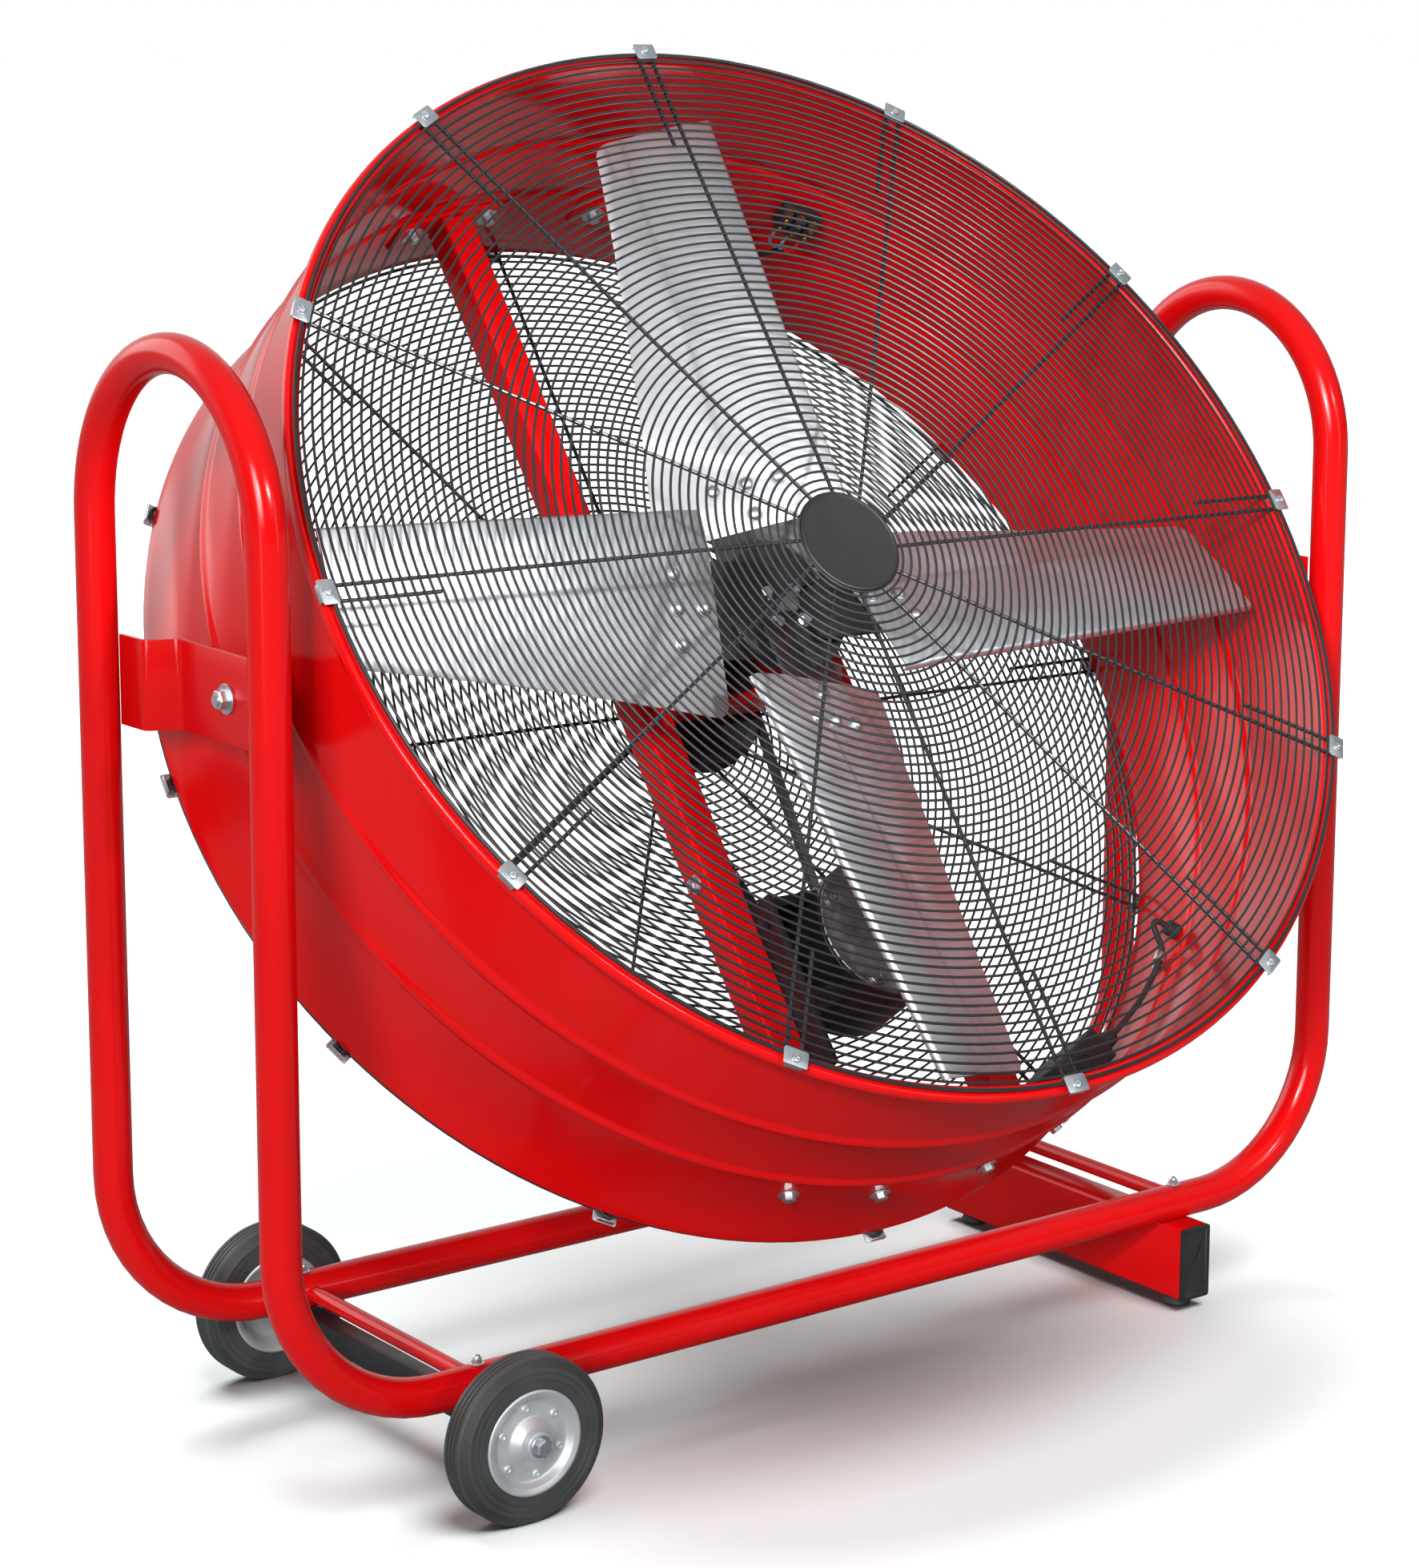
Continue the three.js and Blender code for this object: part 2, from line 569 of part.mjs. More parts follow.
// ---------------------------------------------------------------- the motor
function buildMotor() {
  const { x, z, radius, front, rear } = MOTOR;
  const casing = turned([
    [radius - 7, front], [radius, front], [radius, rear - 4], [radius - 6, rear], [11, rear],
    [11, rear - 9], [radius - 7, rear - 9],
  ], 24);
  const railX = BEAM_X[0] + BEAM.side / 2 + 7 + GAP - x; // front of the mounting plate
  const foot = (low) => block([railX, 40, low], [-radius + 24, 131, low + 12]);
  const cradle = cut(joined(foot(-62), foot(50)), ring(0, radius - 4, 0, 200, 24));
  piece(drum, 'motor_body', joined(casing, cradle), blackPaint()).position.set(x, 0, z);

  const core = ring(47, radius - 8.8, front + 18, rear - 24, 20);
  piece(drum, 'motor_windings', core, finish(0x8a4a28, 0.6, 0.3)).position.set(x, 0, z);
  const shield = turned([
    [0, -10], [20, -10], [24, -5], [62, -4], [78, 0], [78, 5], [radius - 8.6, 5.5], [radius - 8.6, 10],
    [11, 10], [11, -2], [0, -2],
  ], 20);
  piece(drum, 'motor_end_shield', shield, aluminium()).position.set(x, front - 5 - GAP, z);

  const spindle = turned([
    [0, front - 5], [MOTOR_SHAFT_R, front - 5], [MOTOR_SHAFT_R, front + 20], [45.5, front + 20],
    [45.5, rear - 26], [MOTOR_SHAFT_R, rear - 26], [MOTOR_SHAFT_R, PULLEY_Y + 17], [0, PULLEY_Y + 17],
  ], 16);
  piece(drum, 'motor_spindle', spindle, zinc()).position.set(x, 0, z);
}

/** The plate between the motor's feet and the left beam, with a flange behind. */
function buildMotorMount() {
  const inner = BEAM_X[0] + BEAM.side / 2 + GAP;
  const plate = block([inner, 36, -500], [inner + 6.7, 138, -296]);
  const flange = block([inner, 132, -500], [inner + 24, 138, -296]);
  piece(drum, 'motor_mount', joined(plate, flange), blackPaint());
}

// ---------------------------------------------------------------- the wiring in the drum
const BOX_ANGLE = THREE.MathUtils.degToRad(63.7); // below +X, where the junction box stands
const BOX_GLAND = { x: -39.5, y: 88, z: 614, length: 28 }; // on the box's upper end
const GROMMET_ANGLE = Math.PI / 2 + Math.atan2(419, 481);
const GROMMET_Y = 77;
const CLIP_ANGLE = Math.PI / 2 + Math.atan2(449, 454);
const CABLE_R = 4.5;

/** A group on the inside wall: its Z axis points out through the wall, its Y along the drum. */
function onWall(angle, y) {
  const spot = new THREE.Group();
  spot.rotation.y = angle;
  spot.position.y = y;
  drum.add(spot);
  return spot;
}

function buildJunctionBox() {
  const spot = onWall(Math.PI / 2 + BOX_ANGLE, 0);
  const { x, y, z, length } = BOX_GLAND;
  const box = block([-40, 74, 588], [40, 174, 633]);
  const gland = turned([[0, 0], [11, 0], [11, 8], [8, length], [0, length]], 12);
  gland.rotateZ(Math.PI / 2).translate(x, y, z);
  piece(spot, 'junction_box', joined(box, gland), blackPlastic());
}

/** The supply cable inside the drum: from the box's gland, through a clip, to the grommet. */
function buildSupplyCable() {
  const out = Math.PI / 2;
  const wall = (angle, radius, y) => [radius * Math.sin(angle), y, radius * Math.cos(angle)];
  const { x, y, z, length } = BOX_GLAND;
  const glandEnd = [x - length - 0.7, y, z];
  const turn = out + BOX_ANGLE;
  const start = [
    glandEnd[0] * Math.cos(turn) + glandEnd[2] * Math.sin(turn), glandEnd[1],
    -glandEnd[0] * Math.sin(turn) + glandEnd[2] * Math.cos(turn),
  ];
  const route = [
    start,
    wall(turn - 0.164, 621.5, 88.5),
    wall(turn - 0.223, 626, 89),
    wall(CLIP_ANGLE + 0.022, 629, 88),
    wall(CLIP_ANGLE, 629, 87),
    wall(CLIP_ANGLE - 0.022, 627, 86),
    wall(GROMMET_ANGLE + 0.022, 612, 81),
    wall(GROMMET_ANGLE + 0.006, 605, 78),
    wall(GROMMET_ANGLE, 611, GROMMET_Y),
    wall(GROMMET_ANGLE, 620.6, GROMMET_Y),
  ];
  piece(drum, 'supply_cable', cable(route, CABLE_R, 20), blackRubber());
}

function buildWallFittings() {
  const clipSpot = onWall(CLIP_ANGLE, 87);
  const strap = outline([[-9, -7], [7, -7], [9, -5], [9, 5], [24, 5], [24, 7.5], [-9, 7.5]]);
  strap.holes.push(new THREE.Path(circlePoints(CABLE_R + 1, 12)));
  const clip = extruded(strap, 12).rotateX(Math.PI / 2).rotateZ(Math.PI / 2);
  piece(clipSpot, 'cable_clip', clip, zinc()).position.set(-6, 0, 629);

  const spot = onWall(GROMMET_ANGLE, GROMMET_Y);
  const rubber = turned([
    [0, -17], [9.5, -17], [9.5, -1.8], [7.2, -1.8], [7.2, 1.6], [9.5, 1.6], [9.5, 10], [0, 10],
  ], 12).rotateX(Math.PI / 2);
  piece(spot, 'wall_grommet', rubber, blackRubber()).position.z = DRUM_R - SHEET;
}

function buildTerminalBlock() {
  const spot = onWall(Math.atan2(308.5, 558.8), -3);
  const base = block([-26, -18, 620], [26, 18, 634]);
  const tower = (x) => block([x - 7, -15, 608], [x + 7, 15, 621]);
  piece(spot, 'terminal_block', joined(base, tower(-17), tower(0), tower(17)), blackPlastic());
}

/** The cable from the terminal block along the wall and down the right beam to the motor. */
function buildMotorCable() {
  const beamX = BEAM_X[1];
  const behind = BEAM.front + BEAM.side + CABLE_R + GAP;
  const route = [
    [305, 46, 537], [297, 66, 545], [268, 96, 563], [215, behind + 3, 586], [165, behind + 4, 594],
    [beamX, behind + 1, 560], [beamX, behind, 500], [beamX, behind, 300], [beamX, behind, 100],
    [beamX, behind + 1, -100], [beamX, behind + 4, -240], [beamX - 2, behind + 16, -300],
    [124, 166, -342], [100, 182, -358], [92, 174, -361], [92, 161, -361],
  ];
  piece(drum, 'motor_cable', cable(route, CABLE_R, 32), blackRubber());
  const gland = turned([[0, 0], [11, 0], [11, 6], [7, 12], [0, 12]], 12);
  piece(drum, 'motor_gland', gland, blackPlastic()).position.set(92, MOTOR.rear + GAP, -361);
}

// ---------------------------------------------------------------- the whole fan
buildHoops();
buildCrossTubes();
buildBaseBolts();
buildFootBeam();
buildAxle();
for (const [row, side] of [['front', -1], ['rear', 1]]) buildWheel(row, side);
for (const [word, side] of [['left', -1], ['right', 1]]) {
  buildBracket(`bracket_${word}`, side);
  buildPivot(word, side);
}

buildShell();
buildGrilles();
BEAM_X.forEach((x, i) => buildBeam(['left', 'right'][i], x));
buildCrossMember();
buildSpacers();
buildPropeller();
buildDrive();
buildMotor();
buildMotorMount();
buildJunctionBox();
buildSupplyCable();
buildWallFittings();
buildTerminalBlock();
buildMotorCable();

drum.position.z = PIVOT_Z;
drum.rotation.x = -TILT;

export default fan;
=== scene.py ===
# %% [markdown]
# # A belt-driven drum fan
# The working model of the fan is loaded as a fixed frame, in metres, with Z up. Everything after
# this dresses that frame: each piece is made at its real place and rides on the body it belongs to.

# %% Load the frame
import json
import math

import bmesh
import bpy
from bmesh.types import BMEdge, BMVert
from mathutils import Matrix, Quaternion, Vector

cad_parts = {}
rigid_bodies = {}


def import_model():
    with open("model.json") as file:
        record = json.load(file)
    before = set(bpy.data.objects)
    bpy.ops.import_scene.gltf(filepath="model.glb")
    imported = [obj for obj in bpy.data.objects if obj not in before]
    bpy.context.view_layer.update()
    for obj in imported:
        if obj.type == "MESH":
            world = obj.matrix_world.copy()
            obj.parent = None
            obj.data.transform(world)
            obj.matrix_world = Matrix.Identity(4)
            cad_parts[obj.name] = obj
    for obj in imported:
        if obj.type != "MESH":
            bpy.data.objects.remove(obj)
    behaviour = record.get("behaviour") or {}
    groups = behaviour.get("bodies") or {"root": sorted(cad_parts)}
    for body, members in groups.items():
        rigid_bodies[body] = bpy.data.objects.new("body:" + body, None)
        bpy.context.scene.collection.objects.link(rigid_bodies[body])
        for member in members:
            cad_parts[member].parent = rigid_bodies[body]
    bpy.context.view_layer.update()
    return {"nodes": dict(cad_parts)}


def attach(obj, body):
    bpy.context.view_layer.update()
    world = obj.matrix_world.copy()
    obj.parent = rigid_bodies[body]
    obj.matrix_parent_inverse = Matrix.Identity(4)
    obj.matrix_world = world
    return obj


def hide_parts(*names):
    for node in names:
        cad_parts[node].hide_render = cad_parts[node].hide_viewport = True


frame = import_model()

# %% [markdown]
# ## Units and the two frames of reference
# A maker measures in millimetres, so each mesh is shaped in millimetres and scaled once, at its
# end. The drum hangs on two side bolts and is tilted. Its pieces are far easier to describe with
# the fan's own axis along Y, so they are made upright round the origin, then sent to their place
# by one matrix.

# %% Units, and the way from drum to room
MM = 0.001
TAU = 2 * math.pi
PIVOT_Z = 845
TILT = math.radians(37.15)
DRUM = Matrix.Translation((0, 0, PIVOT_Z)) @ Matrix.Rotation(-TILT, 4, "X")
ROOM = Matrix.Identity(4)
UPRIGHT = Matrix.Rotation(TAU / 4, 4, "X")  # Y turns up to Z, and Z forwards to -Y

# %% [markdown]
# ## Camera
# The photograph was taken from the front left, a little above the hub, with a long lens. Place,
# aim and roll were found from the stand and the rims of the drum. The subject isn't in the middle
# of the frame, so the lens is shifted, as a view camera's is, which keeps the uprights parallel.

# %% Camera at the photograph's viewpoint
PHOTO_SIZE = (1772, 1958)
PHOTO_AXIS = (1119.7, 857.0)  # pixel that the lens axis meets
CAMERA_PLACE = Vector((-2505.7, -3344.9, 1565.3)) * MM
CAMERA_AIM = Vector((196.8, -7.2, 765.0)) * MM
CAMERA_ROLL = math.radians(0.646)
SENSOR_MM, LENS_MM = 36, 86.24
FAR_CLIP = 200  # metres, well past the floor that shows

camera_data = bpy.data.cameras.new("camera")
camera = bpy.data.objects.new("camera", camera_data)
bpy.context.scene.collection.objects.link(camera)
bpy.context.scene.camera = camera
camera.rotation_mode = "QUATERNION"
camera.location = CAMERA_PLACE
aimed = (CAMERA_AIM - CAMERA_PLACE).to_track_quat("-Z", "Y")
camera.rotation_quaternion = aimed @ Quaternion((0, 0, 1), CAMERA_ROLL)
camera_data.sensor_width = SENSOR_MM
camera_data.lens = LENS_MM
camera_data.shift_x = (PHOTO_SIZE[0] / 2 - PHOTO_AXIS[0]) / PHOTO_SIZE[1]
camera_data.shift_y = (PHOTO_AXIS[1] - PHOTO_SIZE[1] / 2) / PHOTO_SIZE[1]
camera_data.clip_end = FAR_CLIP
print("camera:", tuple(camera.location), "lens", camera_data.lens, "mm")

# %% [markdown]
# ## Colour and material helpers
# A colour picked on a screen is sRGB, and Blender's shaders work in linear light, so one function
# turns a hex value into linear. One more function adds a shader node with its settings and links.
# A material is then a short list of such nodes, read from top to bottom.

# %% Colour and node helpers
MIX_A, MIX_B, MIXED = 6, 7, 2  # sockets of a colour Mix node


def linear(hex_code):
    """An sRGB hex colour as linear RGBA."""
    parts = [int(hex_code[i:i + 2], 16) / 255 for i in (1, 3, 5)]
    return (*[p / 12.92 if p <= 0.04045 else ((p + 0.055) / 1.055) ** 2.4 for p in parts], 1)


def node(tree, kind, inputs=None, **settings):
    """Adds a node. An input is given by name or number, as a value or as another node's socket."""
    made = tree.nodes.new(kind)
    for name, value in settings.items():
        setattr(made, name, value)
    for name, value in (inputs or {}).items():
        if isinstance(value, bpy.types.NodeSocket):
            tree.links.new(value, made.inputs[name])
        else:
            made.inputs[name].default_value = value
    return made


def spread(tree, value, low, high, start=0.0, end=1.0):
    """Sends a value that runs from `start` to `end` to one that runs from `low` to `high`."""
    return node(tree, "ShaderNodeMapRange", {
        "Value": value, "From Min": start, "From Max": end, "To Min": low, "To Max": high}).outputs[0]


def greater(tree, one, other):
    return node(tree, "ShaderNodeMath", {0: one, 1: other}, operation="MAXIMUM").outputs[0]


def new_material(name):
    """An empty material: its tree, its shader and its output are ready to be joined."""
    material = bpy.data.materials.new(name)
    material.use_nodes = True
    tree = material.node_tree
    tree.nodes.clear()
    shader = node(tree, "ShaderNodeBsdfPrincipled")
    node(tree, "ShaderNodeOutputMaterial", {"Surface": shader.outputs[0]})
    return material, tree, shader

# %% [markdown]
# ## Light, floor and background
# The fan stands on a seamless white sweep. A small sun in front draws the guard's spokes as dark
# lines on the blades, and a broad one from the left lights the drum and the stand. Two spots reach
# what the suns can't: one looks into the drum's mouth, the other at its far inner wall. Two long
# soft lamps beside the camera draw the pale stripe on every round tube, and a broad sun behind the
# fan serves the views from there.
#
# The room is white to the camera. To a gloss surface it is white behind the fan, bright overhead
# and dark on the camera's side, as a studio is: a white room all round would lay a pale veil over
# the deep red.

# %% World and lamps
scene = bpy.context.scene
scene.view_settings.view_transform = "Standard"
AMBIENT = 0.14  # what a matt surface gets from the room
ROOM_FRONT, ROOM_BACK, ROOM_CEILING = 0.06, 0.9, 0.6  # what a gloss surface sees in it
world = bpy.data.worlds.new("studio")
world.use_nodes = True
scene.world = world
sky = world.node_tree
sky.nodes.clear()
path = node(sky, "ShaderNodeLightPath")
toward = node(sky, "ShaderNodeTexCoord")
aim = node(sky, "ShaderNodeSeparateXYZ", {"Vector": toward.outputs["Generated"]})
behind = spread(sky, aim.outputs["Y"], ROOM_FRONT, ROOM_BACK, 0.1, 0.6)
above = spread(sky, aim.outputs["Z"], ROOM_FRONT, ROOM_CEILING, 0.1, 0.9)
lit = spread(sky, path.outputs["Is Glossy Ray"], AMBIENT, greater(sky, behind, above))
straight = greater(sky, path.outputs["Is Camera Ray"], path.outputs["Is Transmission Ray"])
glow = spread(sky, straight, lit, 1.0)
backdrop = node(sky, "ShaderNodeBackground", {"Color": (1, 1, 1, 1), "Strength": glow})
node(sky, "ShaderNodeOutputWorld", {"Surface": backdrop.outputs[0]})


def lamp(name, kind, place, target, energy, **settings):
    """A lamp at `place`, turned towards `target`, both in metres."""
    data = bpy.data.lights.new(name, kind)
    data.energy = energy
    for key, value in settings.items():
        setattr(data, key, value)
    made = bpy.data.objects.new(name, data)
    scene.collection.objects.link(made)
    made.location = place
    made.rotation_mode = "QUATERNION"
    made.rotation_quaternion = (Vector(target) - Vector(place)).to_track_quat("-Z", "Y")
    return made


HUB = (0, 0, PIVOT_Z * MM)
FAN_LAMPS = [
    lamp("key_sun", "SUN", (0.5, -3.6, 2.7), HUB, 0.55, angle=math.radians(4)),
    lamp("side_sun", "SUN", (-3.1, -2.9, 2.5), HUB, 2.6, angle=math.radians(25)),
    lamp("mouth_spot", "SPOT", (0.62, -4.5, 3.2), (-0.15, -0.05, 1.05), 900,
         spot_size=math.radians(16), spot_blend=0.8, shadow_soft_size=0.15),
    lamp("wall_spot", "SPOT", (-3.6, -3.6, 3.0), (0.24, -0.15, 0.78), 1050,
         spot_size=math.radians(13), spot_blend=0.4, shadow_soft_size=0.3),
    lamp("rear_sun", "SUN", (-1.5, 3.4, 2.4), HUB, 0.9, angle=math.radians(40)),
    lamp("left_strip", "AREA", (-3.6, -1.9, 1.7), HUB, 12, shape="RECTANGLE", size=0.25, size_y=2.6),
    lamp("right_strip", "AREA", (1.9, -4.2, 1.9), HUB, 12, shape="RECTANGLE", size=0.25, size_y=2.4)]

# %% [markdown]
# ## Floor
# The sweep has to come out white and still keep the fan's shadow. So two broad suns, one in front
# and one behind, light the sweep alone, and the fan's own lamps leave it out. Where the drum and
# the stand keep both suns off, mostly between the rails, the floor turns a soft neutral grey. What
# the sweep throws back at the fan is held down, or the drum's belly would be lit from below.

# %% Floor
floor_material, tree, shader = new_material("white_sweep")
path = node(tree, "ShaderNodeLightPath")
BOUNCED, SEEN = linear("#737a7a"), linear("#eef4f4")  # its colour to the fan, and to the camera
sweep = node(tree, "ShaderNodeMix", {
    0: path.outputs["Is Camera Ray"], MIX_A: BOUNCED, MIX_B: SEEN}, data_type="RGBA")
tree.links.new(sweep.outputs[MIXED], shader.inputs["Base Color"])
shader.inputs["Roughness"].default_value = 0.9
shader.inputs["Specular IOR Level"].default_value = 0.1
FLOOR_HALF = 60  # metres
bm = bmesh.new()
bmesh.ops.create_grid(bm, x_segments=1, y_segments=1, size=FLOOR_HALF)
floor_mesh = bpy.data.meshes.new("studio_floor")
bm.to_mesh(floor_mesh)
bm.free()
floor = bpy.data.objects.new("studio_floor", floor_mesh)
floor_mesh.materials.append(floor_material)
scene.collection.objects.link(floor)
floor_lit, floor_unlit = [bpy.data.collections.new(name) for name in ("floor_lit", "floor_unlit")]
for group, state in ((floor_lit, "INCLUDE"), (floor_unlit, "EXCLUDE")):
    group.objects.link(floor)
    group.collection_objects[0].light_linking.link_state = state
for word, y in (("front", -1.9), ("rear", 1.0)):
    sun = lamp(f"sweep_sun_{word}", "SUN", (-0.2, y, 3.4), (0, 0, 0), 2.9, angle=math.radians(36))
    sun.light_linking.receiver_collection = floor_lit
for fan_lamp in FAN_LAMPS:
    fan_lamp.light_linking.receiver_collection = floor_unlit

# %% [markdown]
# ## Gloss enamel on steel
# The drum, hoops and beams are sheet and tube with a stoved gloss enamel. It lies as a thin clear
# film, so it shines without being a mirror. Its surface has a faint orange peel and slow changes in
# gloss where it was handled. The real peel is about 2 mm across, too fine for this view, so it is
# drawn at 9 mm and kept very shallow.

# %% Red enamel
MATERIALS = {}


def waves(tree, size_mm, detail=2, stretch=(1, 1, 1), source="Object"):
    """Noise whose lumps are about `size_mm` wide, on the piece's own coordinates."""
    where = node(tree, "ShaderNodeTexCoord")
    scaled = node(tree, "ShaderNodeMapping", {"Vector": where.outputs[source], "Scale": stretch})
    return node(tree, "ShaderNodeTexNoise", {
        "Vector": scaled.outputs[0], "Scale": 1 / (size_mm * MM), "Detail": detail})


def graded(tree, noise, low, high):
    """Spreads the middle of a noise, where nearly all of it lies, over a range of values."""
    return spread(tree, noise.outputs[0], low, high, 0.3, 0.7)


def mottled(tree, noise, dark, light):
    """A colour that drifts between two hex colours with a noise."""
    shades = {0: graded(tree, noise, 0, 1), MIX_A: linear(dark), MIX_B: linear(light)}
    return node(tree, "ShaderNodeMix", shades, data_type="RGBA").outputs[MIXED]


def dress(tree, shader, colour, rough, height, depth_mm):
    """Joins colour, roughness and a bump of a real depth to a shader."""
    bump = node(tree, "ShaderNodeBump", {
        "Height": height.outputs[0], "Distance": depth_mm * MM, "Strength": 1.0})
    tree.links.new(colour, shader.inputs["Base Color"])
    tree.links.new(rough, shader.inputs["Roughness"])
    tree.links.new(bump.outputs[0], shader.inputs["Normal"])


material, tree, shader = new_material("red_stove_enamel")
shader.inputs["IOR"].default_value = 1.5
shader.inputs["Specular IOR Level"].default_value = 0.25
dress(tree, shader,
      mottled(tree, waves(tree, 260), "#d0090c", "#d80b0f"),
      graded(tree, waves(tree, 120), 0.14, 0.22),
      waves(tree, 9, detail=1), 0.008)
MATERIALS["red_enamel"] = material

# %% [markdown]
# ## Black paints and plastics
# The axle bar, pulleys, hub and motor wear a satin black paint over castings and bar, which keeps
# a trace of the rough metal below. The box and end caps are moulded ABS with a fine grained skin.
# The badge is a smooth moulded disc. Each is a dark colour, never pure black, because satin
# surfaces always return some light. The short wires at the terminals have smooth PVC sleeves, two
# blue-grey and one red.

# %% Black finishes
def plain_skin(slot, name, dark, light, rough, grain_mm, depth_mm, ior=1.5):
    """A paint or plastic: a slow drift of colour and gloss, over a grain of its own size."""
    made, tree, shader = new_material(name)
    shader.inputs["IOR"].default_value = ior
    dress(tree, shader,
          mottled(tree, waves(tree, 60, detail=4), dark, light),
          graded(tree, waves(tree, 35, detail=3), *rough),
          waves(tree, grain_mm, detail=3), depth_mm)
    MATERIALS[slot] = made


plain_skin("black_paint", "satin_black_paint", "#17181a", "#232427", (0.34, 0.5), 3, 0.06)
plain_skin("badge_plastic", "smooth_black_plastic", "#111213", "#161718", (0.46, 0.54), 2, 0.01)
plain_skin("black_plastic", "moulded_black_abs", "#191a1b", "#232425", (0.42, 0.6), 1.6, 0.03)
plain_skin("grille_wire", "dipped_black_wire", "#1b1c1f", "#26272a", (0.28, 0.38), 4, 0.02)
plain_skin("motor_enamel", "black_motor_enamel", "#111214", "#191a1d", (0.26, 0.38), 3, 0.03)
plain_skin("blue_pvc", "blue_grey_pvc", "#587482", "#7f9dac", (0.35, 0.5), 2, 0.01)
plain_skin("red_pvc", "red_pvc", "#b01313", "#cf2424", (0.35, 0.5), 2, 0.01)

# %% [markdown]
# ## Rubber
# Tyre rubber is a dull charcoal. Dust lies paler in patches on it, and its moulded skin scatters
# what little it reflects. The feet, cables, belt and grommet are a blacker stock without the dust.

# %% Rubbers
plain_skin("tyre_rubber", "tyre_rubber", "#353637", "#444546", (0.5, 0.65), 1.8, 0.03, ior=1.52)
plain_skin("soft_rubber", "soft_black_rubber", "#1d1e1f", "#292a2b", (0.6, 0.8), 1.5, 0.03, ior=1.52)

# %% [markdown]
# ## Bare metals
# Bolts and clips are bright zinc plate: a bluish silver with cloudy patches where the bath lay
# unevenly. The wheels' sheet has the same plate under a dull passive film, which scatters part of
# the light as a grey paint would. Shafts are ground steel, with fine marks that run round them. The
# blades are rolled aluminium sheet. Rolling leaves hair lines along the sheet, about 0.3 mm apart,
# drawn here at 1.2 mm, so a highlight on them smears across the grain. They follow each blade's own
# UV map, because the four blades point four ways. Metals keep the default IOR.

# %% Bare metals
def bare_metal(slot, name, dark, light, rough, cloud_mm, grain_mm, depth_mm,
               stretch=(1, 1, 1), metallic=1.0):
    """A metal: clouds of tone, and a grain that can be drawn out along one axis."""
    made, tree, shader = new_material(name)
    shader.inputs["Metallic"].default_value = metallic
    dress(tree, shader,
          mottled(tree, waves(tree, cloud_mm, detail=4), dark, light),
          graded(tree, waves(tree, cloud_mm / 2, detail=3), *rough),
          waves(tree, grain_mm, detail=2, stretch=stretch), depth_mm)
    MATERIALS[slot] = made


bare_metal("zinc_plate", "bright_zinc_plate", "#c0c6cc", "#cfd4d9", (0.34, 0.44), 26, 3, 0.01)
bare_metal("dull_zinc", "passivated_zinc_sheet", "#c3c7cb", "#d2d6d9", (0.4, 0.5), 30, 3, 0.01,
           metallic=0.6)
bare_metal("shaft_steel", "ground_steel", "#8f9398", "#b5b8bb", (0.25, 0.4), 20, 2, 0.01, (1, 8, 1))
bare_metal("copper_windings", "enamelled_copper_wire", "#8a3f1c", "#b4602f", (0.35, 0.5), 8, 1, 0.05)
bare_metal("cast_aluminium", "die_cast_aluminium", "#85888b", "#a4a7a9", (0.34, 0.5), 30, 1.5, 0.03)
bare_metal("brass", "drawn_brass", "#a8812f", "#d9b25c", (0.2, 0.35), 10, 1.5, 0.01)

material, tree, shader = new_material("rolled_aluminium_sheet")
shader.inputs["Metallic"].default_value = 0.85  # a dull oxide skin scatters some of the light
shader.inputs["Anisotropic"].default_value = 0.3
ROLLING = (0.035, 1, 1)  # the grain is drawn out along the blade
bands = waves(tree, 40, detail=2, stretch=(0.2, 1, 1), source="UV")
dress(tree, shader,
      mottled(tree, bands, "#c0c3c6", "#cbced1"),
      graded(tree, waves(tree, 80, detail=2, source="UV"), 0.42, 0.48),
      waves(tree, 1.2, detail=3, stretch=ROLLING, source="UV"), 0.004)
MATERIALS["blade_aluminium"] = material
print("materials:", sorted(MATERIALS))

# %% [markdown]
# ## Modelling helpers
# Most of the fan is turned, bent from tube, cut from plate or folded from sheet. So there is one
# helper for each of these trades. Each starts a bmesh from a few points or a circle and lets an
# operator make the faces. `finish_piece` then moves the mesh to its place, scales it to metres,
# gives it its material and tells the frame which body carries it. `drum_piece` does the same for
# what stands in the tilted drum.

# %% Helpers: outlines
def arc(centre, radius, start, end, steps):
    """Points on an arc, as (x, y); angles in radians."""
    turns = [start + (end - start) * i / steps for i in range(steps + 1)]
    return [(centre[0] + radius * math.cos(a), centre[1] + radius * math.sin(a)) for a in turns]


def rounded(corners, radius, steps=3, closed=True):
    """An outline of (x, y), its corners turned into arcs. A third number is a corner's own radius."""
    points = [Vector(c[:2]) for c in corners]
    outline = []
    for i, (corner, here) in enumerate(zip(corners, points)):
        size = corner[2] if len(corner) > 2 else radius
        at_end = not closed and i in (0, len(points) - 1)
        if at_end or size <= 0:
            outline.append(tuple(here))
            continue
        before = points[i - 1] - here
        after = points[(i + 1) % len(points)] - here
        half = before.angle(after) / 2
        reach = min(size / math.tan(half), before.length * 0.49, after.length * 0.49)
        inwards = (before.normalized() + after.normalized()).normalized()
        middle = here + inwards * (reach / math.cos(half))
        first = here + before.normalized() * reach - middle
        last = here + after.normalized() * reach - middle
        swing = first.angle_signed(last)
        for k in range(steps + 1):
            spoke = first.copy()
            spoke.rotate(Matrix.Rotation(-swing * k / steps, 2))
            outline.append(tuple(middle + spoke))
    return outline

# %% Helpers: turned, bent and cut shapes
def only(kind, parts):
    """The vertices, edges or faces among what an operator returns."""
    return [part for part in parts if isinstance(part, kind)]


def chain(bm, points, closed):
    """Vertices joined by edges, through points (x, y, z)."""
    verts = [bm.verts.new(p) for p in points]
    ends = verts[1:] + verts[:1] if closed else verts[1:]
    return verts + [bm.edges.new(pair) for pair in zip(verts, ends)]


